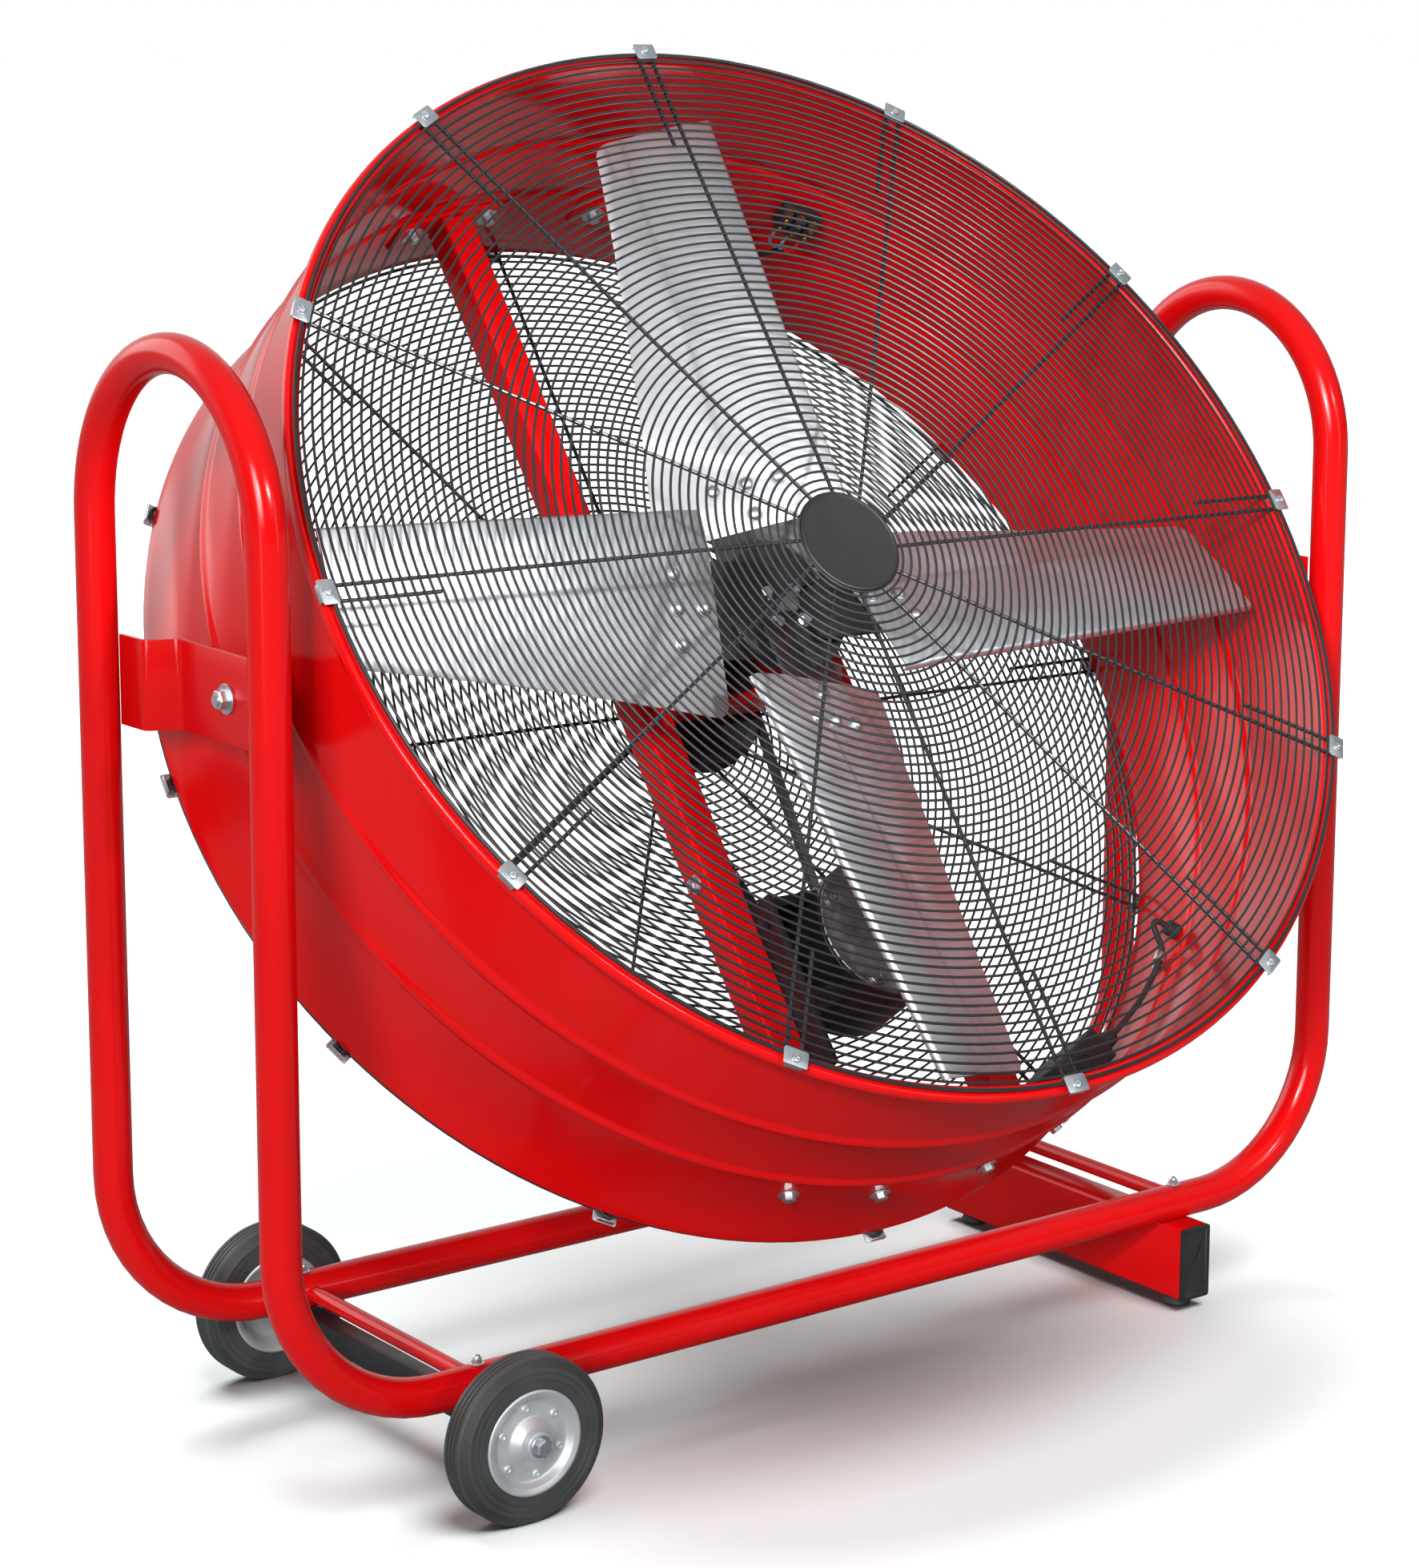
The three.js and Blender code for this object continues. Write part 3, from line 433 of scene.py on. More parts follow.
def cleaned(bm):
    """Merges doubles, then points every face outwards."""
    bmesh.ops.remove_doubles(bm, verts=bm.verts, dist=0.002)
    bmesh.ops.recalc_face_normals(bm, faces=bm.faces)
    return bm


def turned(profile, steps=64, closed=True):
    """A profile of (radius, y) spun once round the Y axis."""
    bm = bmesh.new()
    geom = chain(bm, [(r, y, 0) for r, y in profile], closed)
    bmesh.ops.spin(
        bm, geom=geom, cent=(0, 0, 0), axis=(0, 1, 0), angle=TAU, steps=steps, use_merge=True)
    return cleaned(bm)


class Bent:
    """A section pushed along straight runs and round arcs, as a tube bender does it."""

    def __init__(self, start, heading, radius=None, sides=24, outline=None, place=None):
        self.bm = bmesh.new()
        turn = Vector(heading).to_track_quat("Z", "Y").to_matrix().to_4x4()
        place = place or Matrix.Translation(start) @ turn
        if outline:
            chain(self.bm, [(x, y, 0) for x, y in outline], True)
            self.bm.transform(place)
        else:
            bmesh.ops.create_circle(self.bm, radius=radius, segments=sides, matrix=place)
        self.front = list(self.bm.verts) + list(self.bm.edges)
        self.first = list(self.bm.edges)

    def run(self, move):
        """Pushes the section along a straight line."""
        made = bmesh.ops.extrude_edge_only(self.bm, edges=only(BMEdge, self.front))["geom"]
        verts = only(BMVert, made)
        bmesh.ops.translate(self.bm, vec=move, verts=verts)
        self.front = verts + [edge for edge in only(BMEdge, made) if set(edge.verts) <= set(verts)]
        return self

    def bend(self, centre, axis, angle, steps):
        """Swings the section round an axis."""
        made = bmesh.ops.spin(
            self.bm, geom=self.front, cent=centre, axis=axis, angle=angle, steps=steps)
        self.front = made["geom_last"]
        return self

    def closed(self):
        """Fills both ends and returns the mesh."""
        ends = self.first + only(BMEdge, self.front)
        bmesh.ops.holes_fill(self.bm, edges=ends)
        return cleaned(self.bm)

    def walled(self, wall):
        """Leaves the ends open, gives the tube a wall and returns the mesh."""
        cleaned(self.bm)
        bmesh.ops.solidify(self.bm, geom=list(self.bm.faces), thickness=wall)
        return self.bm


def eased(bm, size, segments=2, angle=30):
    """Bevels the edges that are sharper than an angle in degrees."""
    sharp = [e for e in bm.edges if e.is_manifold and e.calc_face_angle(0) > math.radians(angle)]
    bmesh.ops.bevel(bm, geom=sharp, offset=size, segments=segments, profile=0.5, affect="EDGES",
                    material=-1, clamp_overlap=True)
    return bm


def pulled_up(bm, faces, thickness, ease):
    """Pulls flat faces up along Z, so that they become a plate."""
    pulled = bmesh.ops.extrude_face_region(bm, geom=faces)["geom"]
    bmesh.ops.translate(bm, vec=(0, 0, thickness), verts=only(BMVert, pulled))
    cleaned(bm)
    return eased(bm, ease) if ease else bm


def plate(outline, thickness, ease=0.0, low=0.0):
    """An outline in the XY plane, pulled up along Z from `low`."""
    bm = bmesh.new()
    face = bm.faces.new([bm.verts.new((x, y, low)) for x, y in outline])
    return pulled_up(bm, [face], thickness, ease)


def block(low, high, ease=0.8, segments=2):
    """A block between two corners, with eased edges."""
    low, high = Vector(low), Vector(high)
    bm = bmesh.new()
    size = Matrix.Diagonal((*(high - low), 1))
    bmesh.ops.create_cube(bm, size=1, matrix=Matrix.Translation((low + high) / 2) @ size)
    return eased(bm, ease, segments) if ease else bm

# %% Helpers: joining, copying and finishing
def merged(*parts):
    """Several meshes in one, each still a shell of its own."""
    whole = bmesh.new()
    for part in parts:
        scrap = bpy.data.meshes.new("scrap")
        part.to_mesh(scrap)
        part.free()
        whole.from_mesh(scrap)
        bpy.data.meshes.remove(scrap)
    return whole


def copies(part, places):
    """Copies of a mesh, one at each matrix."""
    master = bpy.data.meshes.new("master")
    part.to_mesh(master)
    part.free()
    whole = bmesh.new()
    for place in places:
        twin = master.copy()
        twin.transform(place)
        whole.from_mesh(twin)
        bpy.data.meshes.remove(twin)
    bpy.data.meshes.remove(master)
    return whole


def shifted(x, y, z):
    return Matrix.Translation((x, y, z))


def facing(point, direction):
    """The matrix that sends something made along +Y at the origin to a point, along a direction."""
    turn = Vector((0, 1, 0)).rotation_difference(Vector(direction))
    return Matrix.Translation(point) @ turn.to_matrix().to_4x4()


def moved(bm, matrix):
    """The mesh itself, after a move."""
    bm.transform(matrix)
    return bm


def round_drum(angle):
    """Turns something made at +X to an angle from +X towards +Z, as seen from the front."""
    return Matrix.Rotation(-angle, 4, "Y")


def finish_piece(name, bm, body, slot, *replaced, place=ROOM, sharp=32, material=None):
    """Places a mesh made in millimetres, dresses it and hands it to the frame."""
    bm.transform(Matrix.Scale(MM, 4) @ place)
    for face in bm.faces:
        face.smooth = True
    for edge in bm.edges:
        edge.smooth = edge.calc_face_angle(0) < math.radians(sharp)
    mesh = bpy.data.meshes.new(name)
    bm.to_mesh(mesh)
    bm.free()
    mesh.materials.append(MATERIALS[material or slot])
    made = bpy.data.objects.new(name, mesh)
    scene.collection.objects.link(made)
    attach(made, body)
    if replaced:
        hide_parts(*replaced)
    print(f"{name}: {len(mesh.polygons)} faces, size", [round(d / MM) for d in made.dimensions])


def drum_piece(name, bm, slot, *replaced, body="drum", place=ROOM, **looks):
    """Finishes a piece that was made upright round the origin: it is tilted with the drum."""
    finish_piece(name, bm, body, slot, *replaced, place=DRUM @ place, **looks)

# %% [markdown]
# ## Fasteners
# Screws, nuts and rivets catch small bright highlights that make metalwork look real. Each kind is
# made once along +Y, with the face that it bears on at the origin, and is copied to its places.

# %% Helpers: fasteners
def washer(radius, height):
    return turned(rounded([(0, 0), (radius, 0), (radius, height), (0, height)], 0.4, 1), 28)


def hexagon(across, height):
    """A hexagon head or nut with a turned chamfer on top."""
    radius = across / math.sqrt(3)
    flank = [(0, 0), (radius, 0), (radius, height * 0.82)]
    return turned(flank + [(radius * 0.84, height), (0, height)], 6)


def dome_nut(across, height, dome):
    """A hexagon nut with a blind dome, on a washer."""
    on_washer = shifted(0, 1.5, 0)
    cap = [(0, height - 1), (dome, height - 1)] + arc((0, height), dome, 0, TAU / 4, 6)
    return merged(washer(across * 0.77, 1.5), moved(hexagon(across, height), on_washer),
                  moved(turned(cap, 24), on_washer))


def hex_bolt(across, height, washer_radius, washer_height=1.6):
    head = moved(hexagon(across, height), shifted(0, washer_height, 0))
    return merged(washer(washer_radius, washer_height), head)


def pan_screw(radius, height):
    """A pan-head screw. Its cross recess is pressed in along two lines over the middle."""
    shares = ((0, 0), (1, 0), (1, 0.6), (0.9, 0.95), (0.66, 1.1), (0.62, 1.12), (0.2, 1.15), (0, 1.15))
    head = turned([(radius * out, height * up) for out, up in shares], 16)
    for vert in head.verts:
        off_line, along_line = sorted((abs(vert.co.x), abs(vert.co.z)))
        if off_line < 0.01 and along_line < radius * 0.64 and vert.co.y > height:
            vert.co.y -= height * 0.45
    return head


def rivet(radius, height):
    """A low domed rivet head."""
    dome = [(radius * math.cos(a), height * math.sin(a)) for a in (0.35, 0.75, 1.15)]
    return turned([(0, 0), (radius, 0)] + dome + [(0, height)], 18)

# %% [markdown]
# ## Stand: two bent tubes
# Each half of the stand is one 42 mm tube, bent three times: rail, corner, leg, half-round top,
# leg, corner, rail. A curve with a bevel could draw it, but a circle pushed along runs and spun
# round corners gives even rings, exact bend radii and a real wall.

# %% Frame tubes
TUBE_R, TUBE_WALL = 21.1, 2.6
LEG_X, RAIL_Y, RAIL_Z = 725, 179, 125.6
BEND_R, ARCH_Z = 180, 1020.5
JOINT_GAP = 0.05  # each half tube stops this far from the middle, too little to see through


def frame_tube(side):
    """From the middle of the front rail, round the hoop, to the middle of the rear rail."""
    corner_x, corner_z = side * (LEG_X - BEND_R), RAIL_Z + BEND_R
    rail = corner_x - side * JOINT_GAP
    tube = Bent((side * JOINT_GAP, -RAIL_Y, RAIL_Z), (side, 0, 0), TUBE_R, 36)
    tube.run((rail, 0, 0))
    tube.bend((corner_x, -RAIL_Y, corner_z), (0, 1, 0), -side * TAU / 4, 14)
    tube.run((0, 0, ARCH_Z - corner_z))
    tube.bend((side * LEG_X, 0, ARCH_Z), (1, 0, 0), -TAU / 2, 36)
    tube.run((0, 0, corner_z - ARCH_Z))
    tube.bend((corner_x, RAIL_Y, corner_z), (0, 1, 0), side * TAU / 4, 14)
    tube.run((-rail, 0, 0))
    return tube.walled(TUBE_WALL)


for word, side in (("left", -1), ("right", 1)):
    finish_piece(f"{word}_bent_tube", frame_tube(side), "stand", "red_enamel", f"{word}_frame_tube")

# %% [markdown]
# ## Stand: cross tubes, axle bar and foot beam
# Two thin tubes keep the rails apart. A solid square bar carries the wheels at one end, and a box
# beam with plastic caps and rubber feet stands at the other. The dome nuts on the rails are the
# ends of the bolts that hold both.

# %% Cross tubes, bar and beam
WHEEL_X, WHEEL_R, FOOT_X = -491, 90, 496.5
BASE_BOLT_X, BOLT_SEAT = 496, 147.0
CROSS_TUBE_R, INTO_RAIL = 9, 1.2
AXLE_HALF, AXLE_REACH = 13, 236
FOOT_BEAM_Z, FOOT_BEAM_HALF, FOOT_BEAM_WALL = 59.3, 217, 3
FOOT_BEAM_SIDES = ((-22.5, -45), (22.5, -45), (22.5, 45), (-22.5, 45))
FOOT_Y, FOOT_HIGH = 190, 14
FIT = 0.3  # left between parts that touch, as in the working model


def cross_tube(x):
    half = RAIL_Y - TUBE_R + INTO_RAIL
    return Bent((x, -half, RAIL_Z), (0, 1, 0), CROSS_TUBE_R, 20).run((0, 2 * half, 0)).closed()


for word, x in (("left", -493), ("right", 508)):
    finish_piece(f"rail_spreader_{word}", cross_tube(x), "stand", "red_enamel", f"cross_tube_{word}")

bar = block((WHEEL_X - AXLE_HALF, -AXLE_REACH, WHEEL_R - AXLE_HALF),
            (WHEEL_X + AXLE_HALF, AXLE_REACH, WHEEL_R + AXLE_HALF), 1.2)
finish_piece("square_axle", bar, "stand", "black_paint", "axle_bar")

section = rounded(FOOT_BEAM_SIDES, 4, 4)
beam = Bent((FOOT_X, -FOOT_BEAM_HALF, FOOT_BEAM_Z), (0, 1, 0), outline=section)
beam.run((0, 2 * FOOT_BEAM_HALF, 0))
finish_piece("box_foot_beam", beam.walled(FOOT_BEAM_WALL), "stand", "red_enamel", "foot_beam")


def beam_cap(side):
    """A moulded plug: a raised rim round a sunk panel."""
    bm = plate(section, 4)
    face = max(bm.faces, key=lambda f: f.calc_center_median().z)
    bmesh.ops.inset_region(bm, faces=[face], thickness=5)
    bmesh.ops.inset_region(bm, faces=[face], thickness=1.2, depth=-1.4)
    eased(bm, 0.4, 2, 50)
    outwards = Vector((0, side, 0)).to_track_quat("Z", "X").to_matrix().to_4x4()
    upright = Matrix.Rotation(TAU / 4, 4, "Z")
    seat = shifted(FOOT_X, side * (FOOT_BEAM_HALF + FIT), FOOT_BEAM_Z)
    return moved(bm, seat @ outwards @ upright)


def rubber_foot(side):
    profile = [(0, 0), (15, 0, 1.5), (17, 4, 2), (14, FOOT_HIGH, 1), (0, FOOT_HIGH)]
    return moved(turned(rounded(profile, 0, 3, False), 32), shifted(FOOT_X, side * FOOT_Y, 0) @ UPRIGHT)


for row, side in (("front", -1), ("rear", 1)):
    finish_piece(f"end_plug_{row}", beam_cap(side), "stand", "black_plastic", f"beam_cap_{row}")
    finish_piece(f"foot_{row}", rubber_foot(side), "stand", "soft_rubber", f"rubber_foot_{row}")
    for end, x in (("axle", -BASE_BOLT_X), ("foot", BASE_BOLT_X)):
        nut = moved(dome_nut(10.5, 5, 4.3), facing((x, side * RAIL_Y, BOLT_SEAT - 0.4), (0, 0, 1)))
        finish_piece(f"{end}_nut_{row}", nut, "stand", "zinc_plate", f"{end}_bolt_{row}")

# %% [markdown]
# ## Wheels
# A solid rubber tyre is pressed on a zinc-plated wheel of two dished halves, riveted round the hub.
# The tread has three grooves, and each sidewall a moulded ring and four fine ridges. Everything but
# the rivets is round, so each part is one turned profile.

# %% Wheels
WHEEL_Y = 261
TREAD_HALF, TYRE_HALF, SHOULDER_R = 12, 19.6, 79
RIM_R, HUB_END, BORE_R = 57.5, 30, 6.9
RIVET_CIRCLE, RIVETS, FIRST_RIVET = 37, 6, 0.7


def cut_grooves(start, along, out, places, width, depth):
    """Points of an outline that runs `along` from `start`, with a narrow groove at each place."""
    points = []
    for place in places:
        for step, sink in ((0, 0), (0.25 * width, depth), (0.75 * width, depth), (width, 0)):
            points.append(tuple(start + along * (place + step) - out * sink))
    return points


def tyre():
    """Half of the outline from the bead out to the tread, then the grooves, then the half mirrored."""
    bead = [(RIM_R - 2.6, 14), (RIM_R + 0.4, TYRE_HALF)]
    ring = cut_grooves(Vector((66, TYRE_HALF)), Vector((1, 0)), Vector((0, 1)), (0, 7), 2, 0.8)
    shoulder = Vector((SHOULDER_R, TYRE_HALF))
    slope = (Vector((WHEEL_R, TREAD_HALF)) - shoulder).normalized()
    ridges = cut_grooves(shoulder, slope, Vector((-slope.y, slope.x)), (1.5, 3.9, 6.3, 8.7), 1.3, 0.9)
    half = bead + ring + [tuple(shoulder)] + ridges + [(WHEEL_R, TREAD_HALF)]
    tread = cut_grooves(Vector((WHEEL_R, 0)), Vector((0, 1)), Vector((1, 0)), (-7.5, -1.2, 5.1), 2.4, 3.2)
    return turned([(r, -y) for r, y in half] + tread + half[::-1], 96)


def wheel_disc():
    """One profile: hub tube, dished web and rolled edge on the near side, then the far side."""
    near = [(BORE_R, -HUB_END), (15, -HUB_END, 1.5), (17, -21, 3), (27, -12.5, 4), (44, -11, 5),
            (49, -18.5, 2), (RIM_R - 3, -20.6, 1.6), (RIM_R, -19.2, 1), (RIM_R - 3.4, -14, 1.5)]
    far = [(RIM_R - 3.4, 14, 1.5), (RIM_R, 19.2, 1), (RIM_R - 3, 20.6, 1.6), (49, 17, 3), (42, -1, 4),
           (14, -1, 2), (14, 18), (BORE_R, 18)]
    return turned(rounded(near + far, 0.6, 3), 72)


def hollow_rivet():
    return turned(rounded([(1.8, -0.4), (4.6, -0.4), (4.4, 1.2), (3, 2.2), (1.9, 1.5)], 0.4, 3), 20)


for row, side in (("front", -1), ("rear", 1)):
    hub = shifted(WHEEL_X, side * WHEEL_Y, WHEEL_R)
    turn = hub @ (ROOM if side < 0 else Matrix.Rotation(TAU / 2, 4, "Z"))
    finish_piece(f"solid_tyre_{row}", tyre(), f"wheel_{row}", "tyre_rubber", f"tyre_{row}", place=turn)
    seat = facing((RIVET_CIRCLE, -11.8, 0), (0.08, -1, 0))
    turns = [round_drum(k * TAU / RIVETS + FIRST_RIVET) for k in range(RIVETS)]
    heads = copies(hollow_rivet(), [way @ seat for way in turns])
    disc = merged(wheel_disc(), heads)
    finish_piece(f"pressed_wheel_{row}", disc, f"wheel_{row}", "zinc_plate", f"rim_{row}", place=turn,
                 material="dull_zinc")
    axle_bolt = moved(hex_bolt(17, 7, 12, 2), facing((0, -HUB_END - FIT, 0), (0, -1, 0)))
    finish_piece(f"axle_end_bolt_{row}", axle_bolt, "stand", "zinc_plate", f"wheel_bolt_{row}",
                 place=turn)

# %% [markdown]
# ## Brackets and tilt bolts
# A strip of 5 mm steel, bent twice towards the drum, is welded between the two legs on each side.
# A bolt through its middle is the tilt axis. It clamps the drum by friction.

# %% Brackets and tilt bolts
STRIP_HALF, STRIP_THICK, STRIP_BEND_R = 48, 5, 9
BOLT_FACE = 673.3  # where the tilt bolt's washer bears
STRIP_BENDS = ((709.5, 163), (708, 113), (673, 99))


def bracket(side):
    """The bent strip: its centre line, given a thickness and a height."""
    bends = [(x, y) for x, y in STRIP_BENDS] + [(x, -y) for x, y in reversed(STRIP_BENDS)]
    face = rounded(bends, STRIP_BEND_R, 4, False)
    back = [(x - STRIP_THICK, y) for x, y in reversed(face)]
    bm = plate([(side * x, y) for x, y in face + back], 2 * STRIP_HALF, 0, PIVOT_Z - STRIP_HALF)
    return eased(bm, 0.8, 2, 50)


for word, side in (("left", -1), ("right", 1)):
    finish_piece(f"hanger_{word}", bracket(side), "stand", "red_enamel", f"bracket_{word}")
    pin = merged(hex_bolt(19, 10, 16, 3), turned([(0, 12), (6, 12), (6, 15), (0, 15)], 20),
                 turned([(0, -31), (8, -31), (8, 0), (0, 0)], 20))
    finish_piece(f"tilt_bolt_{word}", pin, "stand", "zinc_plate", f"pivot_bolt_{word}",
                 place=facing((side * BOLT_FACE, 0, PIVOT_Z), (side, 0, 0)))

# %% [markdown]
# ## Drum shell
# The drum is one strip of 2 mm sheet, rolled round and welded. Two stiffening beads are rolled into
# it, the front edge is curled outwards into a round lip, and the rear edge flares. It is a surface
# of revolution, so its profile is spun. Both sides of the sheet are drawn in the profile, because
# the inside shows as much as the outside.

# %% Drum shell
DRUM_R, SHEET, DRUM_HALF = 640, 2, 201
BEADS, BEAD_HALF, BEAD_HIGH = (-51, 55), 12, 4
LIP_R, LIP_DEEP = 655, 15
FLARE = ((0, 165), (8, 187), (10, DRUM_HALF))  # (rise, y) of the rear edge


def wall_line(offset):
    """The wall between the lip and the flare, `offset` out from its outer face."""
    line = [(DRUM_R + offset, -DRUM_HALF + LIP_DEEP + 4)]
    for middle in BEADS:
        for k in range(9):
            y = middle + BEAD_HALF * (k / 4 - 1)
            rise = BEAD_HIGH * (0.5 + 0.5 * math.cos(math.pi * (k / 4 - 1)))
            line.append((DRUM_R + offset + rise, y))
    return line + [(DRUM_R + rise + offset, y) for rise, y in FLARE]


def shell():
    """The outer face from lip to flare, then the inner face back."""
    lip = [(DRUM_R - SHEET, -DRUM_HALF + 2), (DRUM_R, -DRUM_HALF, 2), (LIP_R - 2, -DRUM_HALF, 5),
           (LIP_R, -DRUM_HALF + LIP_DEEP / 2, 7), (LIP_R - 2, -DRUM_HALF + LIP_DEEP, 5),
           (DRUM_R, -DRUM_HALF + LIP_DEEP + 1)]
    outside = rounded(lip, 0, 5, False) + wall_line(0)
    inside = list(reversed(wall_line(-SHEET)))
    return turned(outside + inside, 180)


drum_piece("rolled_shell", shell(), "red_enamel", "drum_shell")

# %% [markdown]
# ## Grilles
# Each guard is welded from wire: fifty-odd rings 3 mm thick lie over twelve hairpin spokes of
# 4.5 mm. A hairpin is one wire. Its long leg runs from the badge to the rim, where it turns back
# round the fixing screw, and its short leg ends inside. All rings are spun in one go from their
# small circles. Six sides are enough on a wire this thin.

# %% Grilles
SPOKES, SPOKE_WIRE, RING_WIRE, RIM_WIRE = 12, 4.5, 3.0, 4.4
RING_RADII = [62, 68.5] + [79 + 10.75 * i for i in range(53)] + [646]
SPOKE_Y, RING_Y = 203.45, 206.9
HAIRPIN_START, HAIRPIN_HALF, HAIRPIN_END, SHORT_LEG = 50, 9, 645, 125
FIRST_SPOKE = math.radians(-0.4)
RING_STEPS, WIRE_SIDES = 144, 6


def rings(y):
    """Every ring of a guard, in one spin."""
    bm = bmesh.new()
    for radius in RING_RADII:
        wire = RING_WIRE if radius < RING_RADII[-1] else RIM_WIRE
        bmesh.ops.create_circle(bm, radius=wire / 2, segments=WIRE_SIDES, matrix=shifted(radius, y, 0))
    bmesh.ops.spin(bm, geom=list(bm.verts) + list(bm.edges), cent=(0, 0, 0), axis=(0, 1, 0),
                   angle=TAU, steps=RING_STEPS, use_merge=True)
    return cleaned(bm)


def hairpin(y):
    """A spoke lying along +X: long leg below, U-turn at the rim, short leg above."""
    spoke = Bent((HAIRPIN_START, y, -HAIRPIN_HALF), (1, 0, 0), SPOKE_WIRE / 2, 8)
    spoke.run((HAIRPIN_END - HAIRPIN_START, 0, 0))
    spoke.bend((HAIRPIN_END, y, 0), (0, 1, 0), -TAU / 2, 10)
    spoke.run((-SHORT_LEG, 0, 0))
    return spoke.closed()


SPOKE_TURNS = [round_drum(FIRST_SPOKE + k * TAU / SPOKES) for k in range(SPOKES)]
for word, side in (("front", -1), ("rear", 1)):
    wires = merged(rings(side * RING_Y), copies(hairpin(side * SPOKE_Y), SPOKE_TURNS))
    drum_piece(f"wire_guard_{word}", wires, "grille_wire", f"{word}_grille")

# %% [markdown]
# ## Guard clips and badge
# A zinc-plated clip at each spoke hooks over the outer ring and is held by a cross-head screw. The
# badge is a bare moulded disc with a thin turned-over rim.

# %% Clips and badge
CLIP_IN, CLIP_OUT, CLIP_HALF = 640, 659, 14
CLIP_Y, CLIP_TOP, CLIP_THICK = 208.5, 209.7, 1.2
SCREW_CIRCLE = 650.5


def clip():
    """A pressed plate at +X, facing +Y, with its inner edge folded down."""
    corners = [(CLIP_IN, -CLIP_HALF), (CLIP_OUT, -CLIP_HALF), (CLIP_OUT, CLIP_HALF), (CLIP_IN, CLIP_HALF)]
    on_top = shifted(0, CLIP_TOP, 0)
    face = moved(plate(rounded(corners, 2.5, 4), CLIP_THICK, 0.3), on_top @ UPRIGHT)
    hook = block((CLIP_IN - 0.6, CLIP_Y - 6.5, 2 - CLIP_HALF),
                 (CLIP_IN + 0.6, CLIP_Y + 0.9, CLIP_HALF - 2), 0.3)
    outer = block((CLIP_OUT - 1.6, CLIP_Y - 6.9, 4 - CLIP_HALF),
                  (CLIP_OUT - 0.4, CLIP_Y + 0.6, CLIP_HALF - 4), 0.3)
    screw = moved(pan_screw(5, 2.4), shifted(SCREW_CIRCLE, CLIP_TOP, 0))
    return merged(face, hook, outer, screw)


to_front = Matrix.Diagonal((1, -1, 1, 1))
for word, flip in (("front", to_front), ("rear", ROOM)):
    clips = cleaned(copies(clip(), [turn @ flip for turn in SPOKE_TURNS]))
    drum_piece(f"guard_clips_{word}", clips, "zinc_plate")

badge_profile = [(0, -206.2), (61, -206.2), (61, -209.3, 1.2), (58.6, -210.1, 0.8),
                 (57.6, -209.2, 0.8), (0, -209.6)]
badge = turned(rounded(badge_profile, 0, 3, False), 72)
drum_piece("bare_badge", badge, "badge_plastic", "centre_badge")

# %% [markdown]
# ## Plates with holes, and cables
# Some plates have holes, and a scan fill makes their face from the outer loop and the inner ones.
# A cable is a smooth curve through a few points with a round section, taken into a mesh at the end.

# %% Helpers: drilled plates and cables
SIDEWAYS = Matrix(((0, 0, 1, 0), (1, 0, 0, 0), (0, 1, 0, 0), (0, 0, 0, 1)))  # a plate's Z along X


def rectangle(width, height, radius=0.0):
    """A rectangle round the origin, with rounded corners."""
    a, b = width / 2, height / 2
    return rounded([(-a, -b), (a, -b), (a, b), (-a, b)], radius, 3)


def hole(x, y, radius, steps=24):
    return arc((x, y), radius, 0, TAU * (steps - 1) / steps, steps - 1)


def drilled(outline, holes, thickness, ease=0.0):
    """A plate from z = 0 up, whose holes are outlines of their own."""
    bm = bmesh.new()
    for loop in (outline, *holes):
        chain(bm, [(x, y, 0) for x, y in loop], True)
    bmesh.ops.triangle_fill(bm, use_beauty=True, use_dissolve=False, edges=list(bm.edges))
    return pulled_up(bm, list(bm.faces), thickness, ease)


def cable(points, radius):
    """A round cable on a smooth curve through `points`."""
    curve = bpy.data.curves.new("scrap", "CURVE")
    curve.dimensions = "3D"
    curve.bevel_depth, curve.bevel_resolution, curve.use_fill_caps = radius, 4, True
    spline = curve.splines.new("BEZIER")
    spline.bezier_points.add(len(points) - 1)
    for knot, place in zip(spline.bezier_points, points):
        knot.co = place
        knot.handle_left_type = knot.handle_right_type = "AUTO"
    holder = bpy.data.objects.new("scrap", curve)
    mesh = bpy.data.meshes.new_from_object(holder)
    bm = bmesh.new()
    bm.from_mesh(mesh)
    for scrap, store in ((holder, bpy.data.objects), (curve, bpy.data.curves), (mesh, bpy.data.meshes)):
        store.remove(scrap)
    return cleaned(bm)

# %% [markdown]
# ## Beams inside the drum
# Two upright box beams carry everything in the drum. Each ends on a curved shoe, bolted through the
# shell, with hexagon heads outside and nuts on large washers inside.

# %% Beams, shoes and their bolts
BEAM_X, BEAM_SIDE, BEAM_WALL, BEAM_FRONT = (-120, 142), 42, 2.5, 72
BEAM_MIDDLE, BEAM_BACK = BEAM_FRONT + BEAM_SIDE / 2, BEAM_FRONT + BEAM_SIDE
SHOE_OUT, SHOE_THICK = DRUM_R - SHEET - 0.2, 4
SHOE_SPREAD, SHOE_BOLT = 84 / DRUM_R, 58 / DRUM_R  # angles from the beam to the shoe's end and bolt
CROSS_BOLT_Z, MOUNT_BOLT_Z = (-26, 26), (-482, -250)
MOUNT_X = (-98.7, -92)  # the two faces of the motor's plate
SLACK = 0.2  # between a beam's corner and its shoe


def beam_reach(x):
    """How far a beam goes up and down before its corner meets the shoe."""
    return math.sqrt((SHOE_OUT - SHOE_THICK) ** 2 - (abs(x) + BEAM_SIDE / 2) ** 2) - SLACK


def box_beam(x):
    reach = beam_reach(x)
    tube = Bent((x, BEAM_MIDDLE, -reach), (0, 0, 1), outline=rectangle(BEAM_SIDE, BEAM_SIDE, 4))
    return tube.run((0, 0, 2 * reach)).walled(BEAM_WALL)


